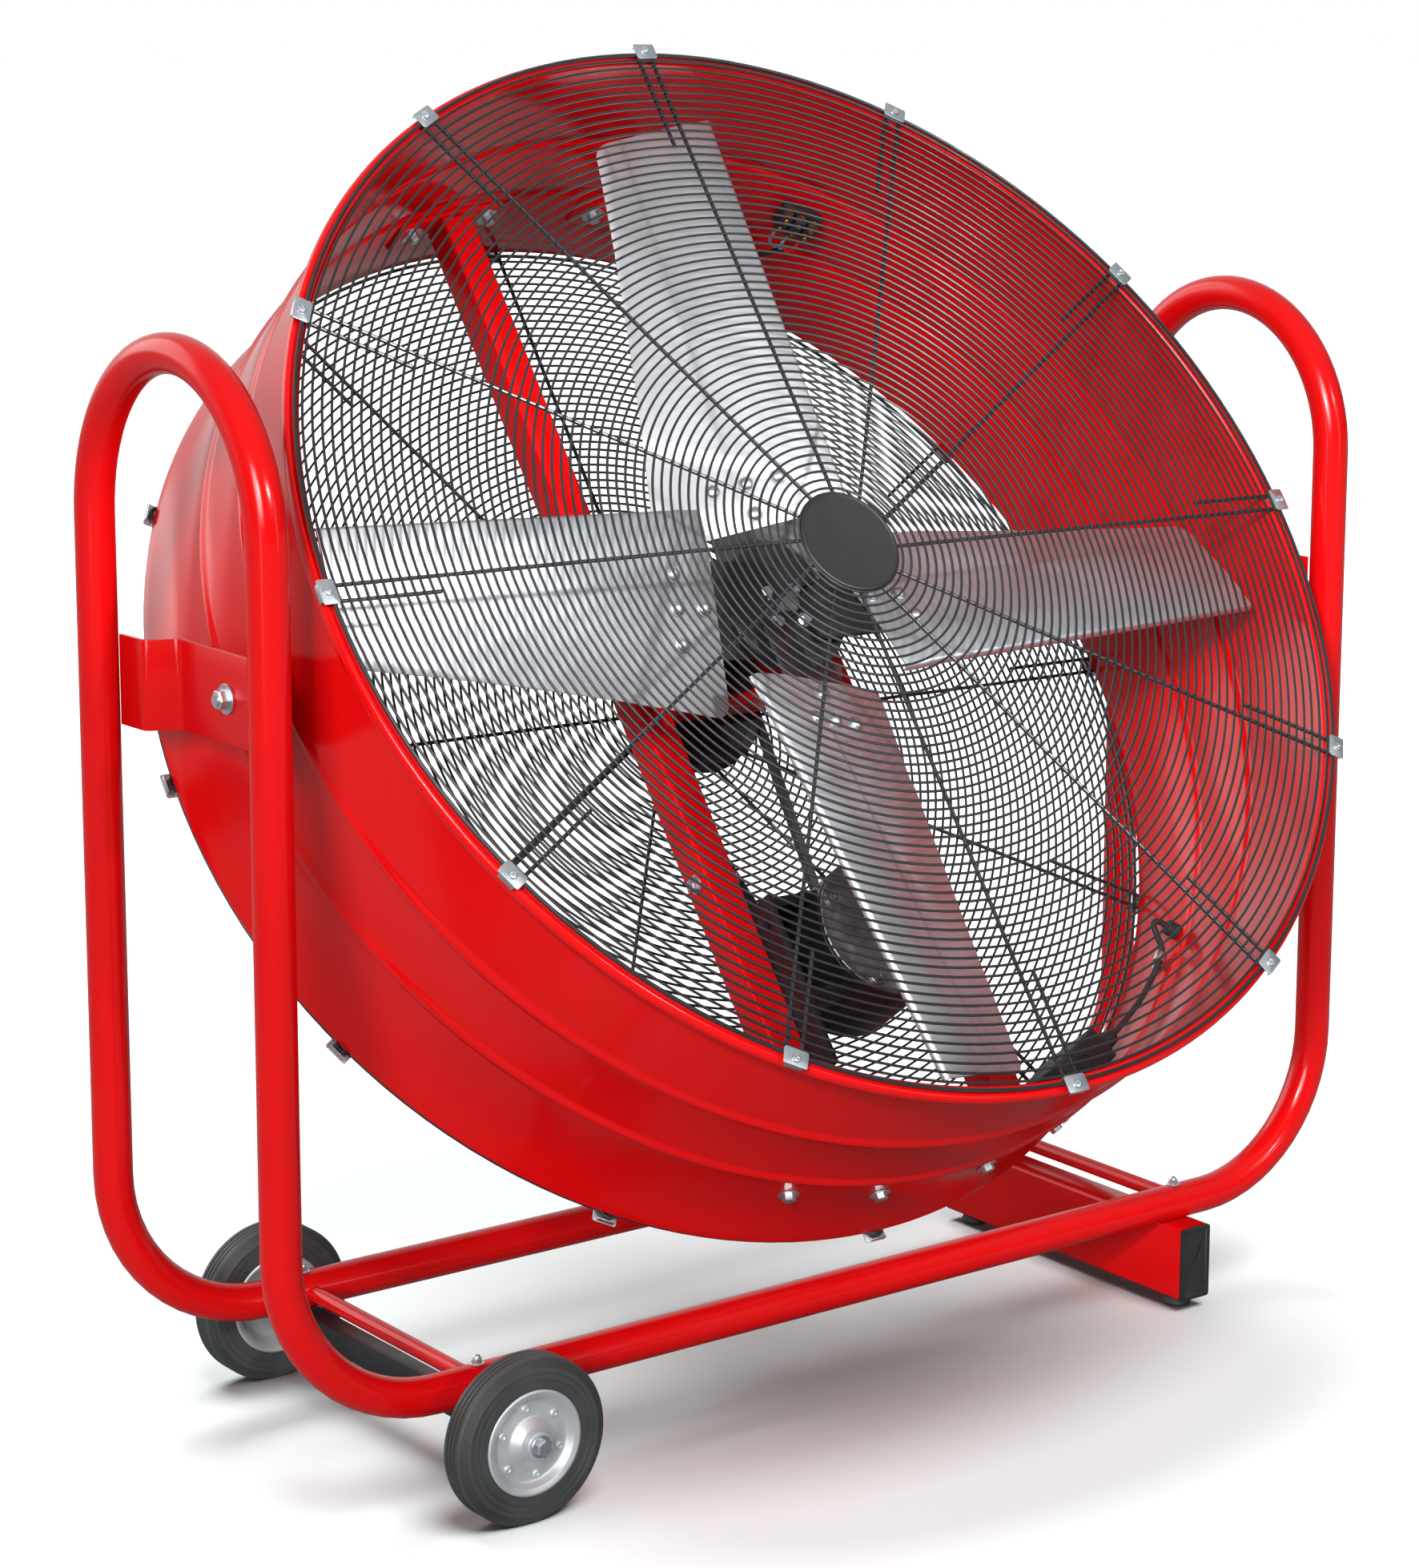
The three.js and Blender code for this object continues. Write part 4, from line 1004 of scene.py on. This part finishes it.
def shoe(middle):
    """A strip as wide as the beam, curved to the shell round the angle `middle`."""
    ends = (middle - SHOE_SPREAD, middle + SHOE_SPREAD)
    outer, inner = (arc((0, 0), r, *ends, 14) for r in (SHOE_OUT, SHOE_OUT - SHOE_THICK))
    return moved(plate(outer + inner[::-1], BEAM_SIDE, 0.6, -BEAM_BACK), UPRIGHT)


def shoe_bolts(middle):
    outside = moved(hex_bolt(13, 6.5, 12), facing((DRUM_R, BEAM_MIDDLE, 0), (1, 0, 0)))
    inside = moved(hex_bolt(13, 9, 14, 2), facing((SHOE_OUT - SHOE_THICK, BEAM_MIDDLE, 0), (-1, 0, 0)))
    return copies(merged(outside, inside), [round_drum(middle + s * SHOE_BOLT) for s in (-1, 1)])


def bolt_at(point, direction):
    return moved(hex_bolt(13, 7, 11), facing(point, direction))


hardware = []
for word, x in zip(("left", "right"), BEAM_X):
    drum_piece(f"box_beam_{word}", box_beam(x), "red_enamel", f"beam_{word}")
    for end, sign in (("top", 1), ("bottom", -1)):
        middle = math.atan2(sign * beam_reach(x), x)
        drum_piece(f"shoe_{word}_{end}", shoe(middle), "red_enamel", f"beam_foot_{word}_{end}")
        hardware.append(shoe_bolts(middle))
    for z in CROSS_BOLT_Z:
        hardware += [bolt_at((x, BEAM_FRONT, z), (0, -1, 0)), bolt_at((x, BEAM_BACK, z), (0, 1, 0))]
for z in MOUNT_BOLT_Z:
    hardware += [bolt_at((BEAM_X[0] - BEAM_SIDE / 2, BEAM_MIDDLE, z), (-1, 0, 0)),
                 bolt_at((MOUNT_X[1], BEAM_MIDDLE, z), (1, 0, 0))]
drum_piece("beam_bolts", merged(*hardware), "zinc_plate")

# %% [markdown]
# ## Cross member, bearings and spacers
# A wider box between the beams holds the shaft in two flange bearings. The shaft passes through its
# front and back walls, so these are drilled plates. Outside, a short tube on each side keeps the
# drum clear of its hanger.

# %% Cross member, bearings and spacers
CROSS_LOW, CROSS_HIGH, CROSS_HALF, CROSS_WALL = -98.7, 120.7, 44, 3
CROSS_BORE, BEARING_BORE = 16, 13.4
SPACER_LOW, SPACER_HIGH = 640.4, 667.7


def cross_box():
    """Front and back plates with a hole for the shaft, then the bottom and the top."""
    middle, width = (CROSS_LOW + CROSS_HIGH) / 2, CROSS_HIGH - CROSS_LOW
    face = [(x + middle, z) for x, z in rectangle(width, 2 * CROSS_HALF)]
    parts = [moved(drilled(face, [hole(0, 0, CROSS_BORE)], CROSS_WALL), shifted(0, y, 0) @ UPRIGHT)
             for y in (BEAM_FRONT + CROSS_WALL, BEAM_BACK)]
    low, high = BEAM_FRONT + CROSS_WALL, BEAM_BACK - CROSS_WALL
    for z in (-CROSS_HALF, CROSS_HALF - CROSS_WALL):
        parts.append(block((CROSS_LOW, low, z), (CROSS_HIGH, high, z + CROSS_WALL), 0.4))
    return merged(*parts)


def bearing():
    """A cast flange unit along +Y, with a round boss and four small bolts."""
    profile = [(BEARING_BORE, 0), (38, 0, 1), (38, 9, 2), (29, 10, 3), (27, 20, 2.5),
               (BEARING_BORE, 20, 1)]
    bolt = moved(hex_bolt(8, 4, 4.8, 0.8), shifted(33, 9, 0))
    turns = [round_drum(TAU * (k + 0.5) / 4) for k in range(4)]
    return merged(turned(rounded(profile, 0.5, 4), 48), copies(bolt, turns))


drum_piece("cross_box", cross_box(), "red_enamel", "cross_member")
backwards = shifted(0, BEAM_BACK + FIT, 0)
forwards = shifted(0, BEAM_FRONT - FIT, 0) @ Matrix.Rotation(TAU / 2, 4, "X")
for word, way in (("rear", backwards), ("front", forwards)):
    drum_piece(f"flange_bearing_{word}", bearing(), "black_paint", f"bearing_{word}", place=way)
for word, side in (("left", -1), ("right", 1)):
    length = SPACER_HIGH - SPACER_LOW
    spacer = turned(rounded([(9, 0), (20, 0, 1), (20, length, 1), (9, length)], 0.3, 2), 40)
    drum_piece(f"hanger_spacer_{word}", spacer, "red_enamel", f"pivot_spacer_{word}",
               place=facing((side * SPACER_LOW, 0, 0), (side, 0, 0)))

# %% [markdown]
# ## Blades
# Each blade is cut flat from 2.5 mm sheet, then folded in a press: a small hem along the trailing
# edge for stiffness, a shallow bend beside it, and a low step across the root. The script does the
# same. It lays out the flat shape, cuts it where it bends, and turns what lies beyond each cut.
# The UV map is laid while the sheet is still flat, so the rolling grain follows the folds.

# %% Blades
BLADES, BLADE_SHEET = 4, 2.5
BLADE_PITCH, BLADE_CONE, BLADE_Y = 0.4, 0.077, -60.8
BLADE_ROOT, BLADE_TIP, TRAILING = 98, 598, 116
ROOT_CORNER, TIP_CORNER = 16, 24
HEM_FLAT = 120  # trailing edge of the flat sheet, before its hem is folded
HEM_ANGLE, BEND_ANGLE, STEP_ANGLE = 82, 8, 9
ROOT_STEP = ((150, 45), (215, -85))  # the line of the step across the root, as (out, across)
STEP_WIDTH = 14


def curve(a, b, c, steps):
    """Points on a quadratic curve from a to c that leans towards b, without its first point."""
    a, b, c = Vector(a), Vector(b), Vector(c)
    turns = [(i + 1) / steps for i in range(steps)]
    return [tuple(a * (1 - t) ** 2 + b * 2 * t * (1 - t) + c * t * t) for t in turns]


def blade_place(angle):
    """X runs out along the blade, Y across it to the trailing edge, Z to the rear."""
    outward = Vector((math.sin(angle), 0, math.cos(angle)))
    clockwise = Vector((math.cos(angle), 0, -math.sin(angle)))
    span = (outward - Vector((0, BLADE_CONE, 0))).normalized()
    chord = (clockwise - Vector((0, BLADE_PITCH, 0))).normalized()
    normal = span.cross(chord).normalized()
    turn = Matrix((span, normal.cross(span), normal)).transposed()
    return shifted(0, BLADE_Y, 0) @ turn.to_4x4()


def fold(bm, point, across, angle, width, steps=3):
    """Bends what lies beyond a line across the sheet, over a few close creases."""
    across = Vector((*across, 0)).normalized()
    hinge = Vector((across.y, -across.x, 0))
    for i in reversed(range(steps)):
        crease = Vector((*point, 0)) + across * width * (i / (steps - 1) - 0.5)
        everything = list(bm.verts) + list(bm.edges) + list(bm.faces)
        bmesh.ops.bisect_plane(bm, geom=everything, dist=0.001, plane_co=crease, plane_no=across)
        beyond = [v for v in bm.verts if (v.co - crease).dot(across) > 0.01]
        turn = Matrix.Rotation(math.radians(angle) / steps, 3, hinge)
        bmesh.ops.rotate(bm, cent=crease, matrix=turn, verts=beyond)


def blade():
    """The flat sheet, folded at its hem and its bend, then stepped at the root."""
    root_corner = (BLADE_ROOT + ROOT_CORNER, -100)
    flat = [(BLADE_ROOT, HEM_FLAT)] + arc(root_corner, ROOT_CORNER, TAU / 2, TAU * 0.75, 6)
    flat += curve(flat[-1], (358, -62), (BLADE_TIP - TIP_CORNER, -32), 16)
    flat += curve(flat[-1], (BLADE_TIP, -32), (BLADE_TIP, -8), 8) + [(BLADE_TIP + 4, HEM_FLAT)]
    bm = bmesh.new()
    face = bm.faces.new([bm.verts.new((x, y, 0)) for x, y in flat])
    grain_map = bm.loops.layers.uv.new("UVMap")
    for corner in face.loops:
        corner[grain_map].uv = corner.vert.co.xy * MM
    fold(bm, (0, TRAILING - 2.2), (0, 1), HEM_ANGLE, 3)
    fold(bm, (0, 70), (0, 1), BEND_ANGLE, 8)
    inner, outer = Vector(ROOT_STEP[0]), Vector(ROOT_STEP[1])
    away = Vector((inner.y - outer.y, outer.x - inner.x)).normalized()
    fold(bm, inner + away * STEP_WIDTH, away, STEP_ANGLE, 5)
    fold(bm, inner, away, -STEP_ANGLE, 5)
    bmesh.ops.translate(bm, vec=(0, 0, BLADE_SHEET / 2), verts=list(bm.verts))
    bmesh.ops.solidify(bm, geom=list(bm.faces), thickness=BLADE_SHEET)
    return eased(bm, 0.5, 2, 50)


BLADE_TURNS = [blade_place(k * TAU / BLADES) for k in range(BLADES)]
for k, turn in enumerate(BLADE_TURNS):
    drum_piece(f"fan_blade_{k + 1}", blade(), "blade_aluminium", f"blade_{k + 1}",
               body="propeller", place=turn, sharp=40)

# %% [markdown]
# ## Spider, shaft and their bolts
# The blades are bolted to the front of a black steel spider: a hub with four flat arms that lie
# behind the blade roots. Four bright domed heads show on each blade, and hexagon heads round the hub.

# %% Spider and shaft
HUB_R, HUB_FRONT, HUB_BACK = 78, -63, -14
ARM = [(20, -54), (172, -52), (172, 62), (20, 54)]
ARM_LOW, ARM_THICK = 1.55, 5
BLADE_BOLTS = [(152, 45), (152, 7), (152, -33), (115, 5)]
SHAFT_R, SHAFT_ENDS, HUB_BORE, BOSS_R = 12.5, (-76, 182), 13, 38

profile = [(HUB_BORE, HUB_FRONT, 1), (HUB_R, HUB_FRONT, 3), (HUB_R, -50, 3), (BOSS_R, -48, 6),
           (BOSS_R, HUB_BACK, 2), (HUB_BORE, HUB_BACK, 1)]
hub = turned(rounded(profile, 0, 4), 72)
arms = copies(plate(rounded(ARM, 12, 5), ARM_THICK, 0.8, ARM_LOW), BLADE_TURNS)
drum_piece("blade_spider", merged(hub, arms), "black_paint", "spider", body="propeller")

domes = []
for u, v in BLADE_BOLTS:
    dome = merged(washer(9.5, 1.2), moved(rivet(8, 4.8), shifted(0, 1.2, 0)))
    domes.append(moved(dome, facing((u, v, -BLADE_SHEET / 2), (0, 0, -1))))
    domes.append(moved(hexagon(13, 6.5), facing((u, v, ARM_LOW + ARM_THICK), (0, 0, 1))))
seat = facing((27, HUB_FRONT, 0), (0, -1, 0))
hub_bolts = [moved(hex_bolt(13, 6, 9, 1.4), round_drum(TAU * (k + 0.5) / 4) @ seat) for k in range(4)]
bolts = merged(copies(merged(*domes), BLADE_TURNS), *hub_bolts)
drum_piece("spider_bolts", bolts, "zinc_plate", body="propeller")

front, back = SHAFT_ENDS
profile = [(0, front), (SHAFT_R, front, 1.5), (SHAFT_R, back, 1.5), (0, back)]
shaft = turned(rounded(profile, 0, 2, False), 32)
drum_piece("drive_shaft", shaft, "shaft_steel", "fan_shaft", body="propeller")

# %% [markdown]
# ## Pulleys and belt
# A V-belt's section is a wedge. It is pushed down one straight side, round the motor pulley, up the
# other side and round the fan pulley, and its two ends merge. The belt stands still in this model,
# because a running belt changes shape as it moves.

# %% Pulleys and belt
MOTOR_X, MOTOR_Z, PULLEY_Y = 29, -361, 163
FAN_GROOVE, MOTOR_GROOVE = 88.5, 34.5  # the belt's outer face on each pulley
BELT_THICK, BELT_TOP, BELT_FLOOR = 9, 6.2, 4.6


def pulley(radius, bore, hub_r):
    """Half of the outline from the groove's floor to the bore, then the same half mirrored."""
    half, floor = 12, radius - BELT_THICK - 1.5
    web = hub_r + 0.5 * (floor - 3 - hub_r)
    side = [(floor, 6), (radius + 1, half, 0.8), (floor - 3, half, 1), (web, 4, 6), (hub_r, 4, 2),
            (hub_r, half, 1), (bore, half)]
    return turned(rounded(side + [(r, -y, *own) for r, y, *own in reversed(side)], 0.3, 3), 72)


def belt():
    """`near` and `far` point from each axle to where the belt leaves its pulley."""
    reach, heading = math.hypot(MOTOR_X, MOTOR_Z), math.atan2(MOTOR_Z, MOTOR_X)
    wrap = math.acos((FAN_GROOVE - MOTOR_GROOVE) / reach)
    near, far = (Vector((math.cos(heading + w), 0, math.sin(heading + w))) for w in (wrap, -wrap))
    middle, axle = Vector((MOTOR_X, 0, MOTOR_Z)), Vector((0, 1, 0))
    wedge = [(-BELT_TOP, 0), (-BELT_FLOOR, -BELT_THICK), (BELT_FLOOR, -BELT_THICK), (BELT_TOP, 0)]
    turn = Matrix((axle, near, axle.cross(near))).transposed().to_4x4()
    start = near * FAN_GROOVE
    band = Bent(start, axle, outline=rounded(wedge, 0.8, 2), place=Matrix.Translation(start) @ turn)
    band.run(middle + near * (MOTOR_GROOVE - FAN_GROOVE))
    band.bend(middle, axle, 2 * wrap, 24)
    band.run(far * (FAN_GROOVE - MOTOR_GROOVE) - middle)
    band.bend((0, 0, 0), axle, TAU - 2 * wrap, 48)
    return cleaned(band.bm)


wheel_plane = shifted(0, PULLEY_Y, 0)
motor_axis = shifted(MOTOR_X, 0, MOTOR_Z)
drum_piece("driven_pulley", pulley(88, 13, 26), "black_paint", "fan_pulley",
           body="propeller", place=wheel_plane)
drum_piece("driving_pulley", pulley(34, 10, 15), "black_paint", "motor_pulley",
           body="motor_rotor", place=motor_axis @ wheel_plane)
drum_piece("v_belt", belt(), "soft_rubber", "drive_belt", place=wheel_plane)

# %% [markdown]
# ## Motor
# The motor is a rolled black case with a pressed rear end and a die-cast aluminium end shield in
# front. Four lobes on the shield take the long bolts that clamp the two ends together. Two feet
# bear on a black plate that is bolted to the left beam. The windings show from nowhere, so they
# keep their solid and only get their copper.

# %% Motor
MOTOR_R, MOTOR_FRONT, MOTOR_REAR, CASE_IN = 84, 26, 148, 77
FOOT_LEVELS = (-62, 50)  # undersides of the two feet, from the motor's axis
SHIELD_Y, SHIELD_BOLT_R, FIRST_LOBE = MOTOR_FRONT - 5.3, 72, math.radians(145)
PLATE_LOW, PLATE_HIGH = -500, -296


def motor_case():
    """The rolled case with its pressed rear end, and two feet on its left."""
    profile = [(CASE_IN, MOTOR_FRONT), (MOTOR_R, MOTOR_FRONT, 1), (MOTOR_R, 141, 7), (72, MOTOR_REAR, 5),
               (30, MOTOR_REAR - 2, 3), (24, MOTOR_REAR, 2), (11, MOTOR_REAR, 1), (11, 139),
               (CASE_IN, 139)]
    foot_x = (MOUNT_X[1] - MOTOR_X + FIT, 27 - MOTOR_R)
    feet = [block((foot_x[0], 40, z), (foot_x[1], 131, z + 12), 1.2) for z in FOOT_LEVELS]
    return merged(turned(rounded(profile, 0.5, 5), 96), *feet)


def end_shield():
    """A disc with a boss and a spigot, and a lobe with a screw at each of four corners."""
    profile = [(0, -10), (20, -10, 2), (24, -5, 3), (62, -4, 4), (78, 0, 3), (83, 0.5, 1.5), (83, 5, 0.8),
               (75.4, 5), (75.4, 10), (11, 10), (11, -2), (0, -2)]
    screw = moved(pan_screw(5.5, 3), Matrix.Rotation(TAU / 2, 4, "X") @ shifted(0, 3.5, 0))
    lobe = merged(turned(rounded([(0, -3.5), (9, -3.5, 1.5), (9, 4), (0, 4)], 0, 3), 28), screw)
    turns = [round_drum(FIRST_LOBE + k * TAU / 4) @ shifted(SHIELD_BOLT_R, 0, 0) for k in range(4)]
    return merged(turned(rounded(profile, 0.3, 4), 96), copies(lobe, turns))


def mount_plate():
    """A drilled plate in the YZ plane, with a flange turned along its rear edge."""
    low, high = MOUNT_X
    outline = [(36, PLATE_LOW), (138, PLATE_LOW), (138, PLATE_HIGH), (36, PLATE_HIGH)]
    sheet = drilled(outline, [hole(56, -325, 6), hole(56, -440, 6)], high - low, 0.8)
    flange = block((high - 1, 132, PLATE_LOW), (high + 17.3, 138, PLATE_HIGH), 0.8)
    return merged(moved(sheet, shifted(low, 0, 0) @ SIDEWAYS), flange)


drum_piece("motor_case", motor_case(), "black_paint", "motor_body",
           place=motor_axis, material="motor_enamel")
drum_piece("cast_end_shield", end_shield(), "blade_aluminium", "motor_end_shield",
           place=motor_axis @ shifted(0, SHIELD_Y, 0), material="cast_aluminium")
drum_piece("mount_plate", mount_plate(), "black_paint", "motor_mount")
profile = [(0, 21), (9.5, 21, 0.5), (9.5, 46), (45.5, 46, 1), (45.5, 122, 1), (9.5, 122),
           (9.5, 180, 1), (0, 180)]
drum_piece("rotor_spindle", turned(rounded(profile, 0, 2, False), 32), "shaft_steel",
           "motor_spindle", body="motor_rotor", place=motor_axis)
for holder in frame["nodes"]["motor_windings"].material_slots:
    holder.material = MATERIALS["copper_windings"]

# %% [markdown]
# ## Junction box and supply cable
# A black moulded box stands on the shell. Its cable leaves by a gland, passes under a P-clip and
# goes out through a rubber grommet. The route follows that of the working model, with the thinner
# cable that the photograph shows.

# %% Junction box, clip, grommet and supply cable
BOX_TURN = math.radians(90 + 63.7)
GROMMET_TURN = TAU / 4 + math.atan2(419, 481)
CLIP_TURN = TAU / 4 + math.atan2(449, 454)
CABLE_R, CLIP_R, WALL_IN = 3.6, 629, DRUM_R - SHEET
CLIP_LOOP_Y, GROMMET_Y = 87, 77
LID_Y, GLAND_FOOT = 74, Vector((-39.8, 88, 614))


def on_wall(turn):
    """X along the wall, Y along the drum and Z out through the wall, at a turn round the drum."""
    return Matrix.Rotation(turn, 4, "Y")


def wall(turn, radius, y):
    """A point at a turn round the drum, so far from its axis and so far along it."""
    return (radius * math.sin(turn), y, radius * math.cos(turn))


def gland(across, radius, length):
    """A hexagon body with a round cap that narrows towards the cable."""
    profile = [(0, 7), (radius, 7), (radius, length - 5, 2), (5, length, 2), (0, length)]
    return merged(hexagon(across, 8), turned(rounded(profile, 0.5, 3, False), 28))


def switch_box():
    """A box with a lid that faces the fan's front: four screws, a moulded ring and the gland."""
    body = block((-40, 77, 588), (40, 174, 632), 3, 3)
    lid = block((-38.5, LID_Y, 589.5), (38.5, 78.5, 631), 1.5, 2)
    ring = turned([(9, 0), (11, 0), (11, 2), (9, 2)], 36)
    parts = [body, lid, moved(ring, facing((6, LID_Y, 611), (0, -1, 0)))]
    for x in (-33, 33):
        for z in (594, 626):
            parts.append(moved(pan_screw(3.2, 0.2), facing((x, LID_Y, z), (0, -1, 0))))
    return merged(*parts, moved(gland(20, 9.5, 28), facing(GLAND_FOOT, (-1, 0, 0))))


def p_clip():
    """A strap round the cable whose two ends lie together as a tab, under one screw."""
    strap = [(24, 7.5)] + arc((0, 0), 7.5, TAU / 4, TAU - 0.3, 16) + [(9, 4.6), (24, 4.6)]
    band = drilled(strap, [hole(0, 0, 4.8)], 12, 0.3)
    screw = moved(pan_screw(4.5, 2.2), facing((6, 17, 4.6), (0, 0, -1)))
    return merged(moved(band, SIDEWAYS), screw)


def grommet():
    """A ribbed nose outside, a neck in the wall, and a collar round the cable inside."""
    nose = [(0, -17), (8, -17, 2), (9.3, -15.5, 0.5), (9.3, -12), (8.2, -11), (9.4, -9.5), (8.3, -8),
            (9.5, -6), (9.5, -1.8)]
    collar = [(7.2, -1.8), (7.2, 1.6), (9.5, 1.6, 0.5), (8, 10, 2), (4, 10, 1), (4, 4), (0, 4)]
    return turned(rounded(nose + collar, 0, 3, False), 32)


drum_piece("switch_box", switch_box(), "black_plastic", "junction_box", place=on_wall(BOX_TURN))
drum_piece("p_clip", p_clip(), "zinc_plate", "cable_clip",
           place=on_wall(CLIP_TURN) @ shifted(-6, CLIP_LOOP_Y, CLIP_R))
drum_piece("lead_grommet", grommet(), "soft_rubber", "wall_grommet",
           place=on_wall(GROMMET_TURN) @ facing((0, GROMMET_Y, WALL_IN), (0, 0, 1)))
out_of_gland = [on_wall(BOX_TURN) @ (GLAND_FOOT - Vector((reach, 0, 0))) for reach in (24, 28.4)]
SUPPLY_ROUTE = out_of_gland + [
    wall(BOX_TURN - 0.164, 621.5, 88.5), wall(BOX_TURN - 0.223, 626, 89),
    wall(CLIP_TURN + 0.022, CLIP_R, 88), wall(CLIP_TURN, CLIP_R, CLIP_LOOP_Y),
    wall(CLIP_TURN - 0.022, 627, 86), wall(GROMMET_TURN + 0.022, 612, 81),
    wall(GROMMET_TURN + 0.006, 605, 78), wall(GROMMET_TURN, 611, GROMMET_Y),
    wall(GROMMET_TURN, 622, GROMMET_Y)]
drum_piece("supply_lead", cable(SUPPLY_ROUTE, CABLE_R), "soft_rubber", "supply_cable")

# %% [markdown]
# ## Terminal block and motor cable
# A three-way block on the shell joins the supply to the motor's cable. Its brass tubes catch the
# light between dark mouldings, and three short wires run from it into the cable's black sheath.

# %% Terminal block and motor cable
TERMINAL_TURN, TERMINAL_Y = math.atan2(308.5, 558.8), -3
TERMINALS, WAY_Z = (-17, 0, 17), 615
SHEATH_START = (305, 46, 537)
WIRE_R = 1.9


def terminal_body():
    ways = [moved(block((-7, -15, -7), (7, 15, 7), 2), shifted(x, 0, WAY_Z)) for x in TERMINALS]
    return merged(block((-26, -18, 621), (26, 18, 634), 1.2), *ways)


def terminal_metal():
    """In each way a brass tube that ends just outside the moulding, and two screws."""
    tube = turned(rounded([(2, -17), (4, -17), (4, 17), (2, 17)], 0.3, 2), 20)
    screws = [moved(pan_screw(3.4, 1.6), facing((0, y, -7), (0, 0, -1))) for y in (-8, 8)]
    return copies(merged(tube, *screws), [shifted(x, 0, WAY_Z) for x in TERMINALS])


def short_wire(x):
    """From a way's rear end round into the sheath of the motor's cable."""
    return cable([(x, 13, WAY_Z), (x, 24, WAY_Z - 1), (x * 0.9, 38, WAY_Z - 3),
                  (x * 0.5 + sheath.x * 0.5, 46, WAY_Z - 1),
                  (sheath.x + x * 0.1, sheath.y - 5, sheath.z), (sheath.x, sheath.y + 2, sheath.z)], WIRE_R)


terminal = on_wall(TERMINAL_TURN) @ shifted(0, TERMINAL_Y, 0)
drum_piece("terminal_moulding", terminal_body(), "black_plastic", "terminal_block", place=terminal)
drum_piece("terminal_brass", terminal_metal(), "zinc_plate", place=terminal, material="brass")
sheath = terminal.inverted() @ Vector(SHEATH_START)
for colour, ways in (("blue", TERMINALS[:2]), ("red", TERMINALS[2:])):
    drum_piece(f"{colour}_wires", merged(*[short_wire(x) for x in ways]), "soft_rubber",
               place=terminal, material=f"{colour}_pvc")
BEHIND = BEAM_BACK + CABLE_R + FIT  # the cable's middle, where it lies on the back of the beam
BEAM_LINE, ENTRY_X = BEAM_X[1], 92
MOTOR_ROUTE = [
    SHEATH_START, (297, 66, 545), (268, 96, 563), (215, BEHIND + 3, 586), (165, BEHIND + 4, 594),
    (BEAM_LINE, BEHIND + 1, 560), *[(BEAM_LINE, BEHIND, z) for z in (500, 300, 100)],
    (BEAM_LINE, BEHIND + 1, -100), (BEAM_LINE, BEHIND + 4, -240), (140, BEHIND + 16, -300),
    (124, 166, -342), (100, 182, -358), (ENTRY_X, 174, MOTOR_Z), (ENTRY_X, 161, MOTOR_Z)]
drum_piece("motor_lead", cable(MOTOR_ROUTE, CABLE_R), "soft_rubber", "motor_cable")
drum_piece("motor_entry", gland(20, 9, 13), "black_plastic", "motor_gland",
           place=shifted(ENTRY_X, MOTOR_REAR + FIT, MOTOR_Z))
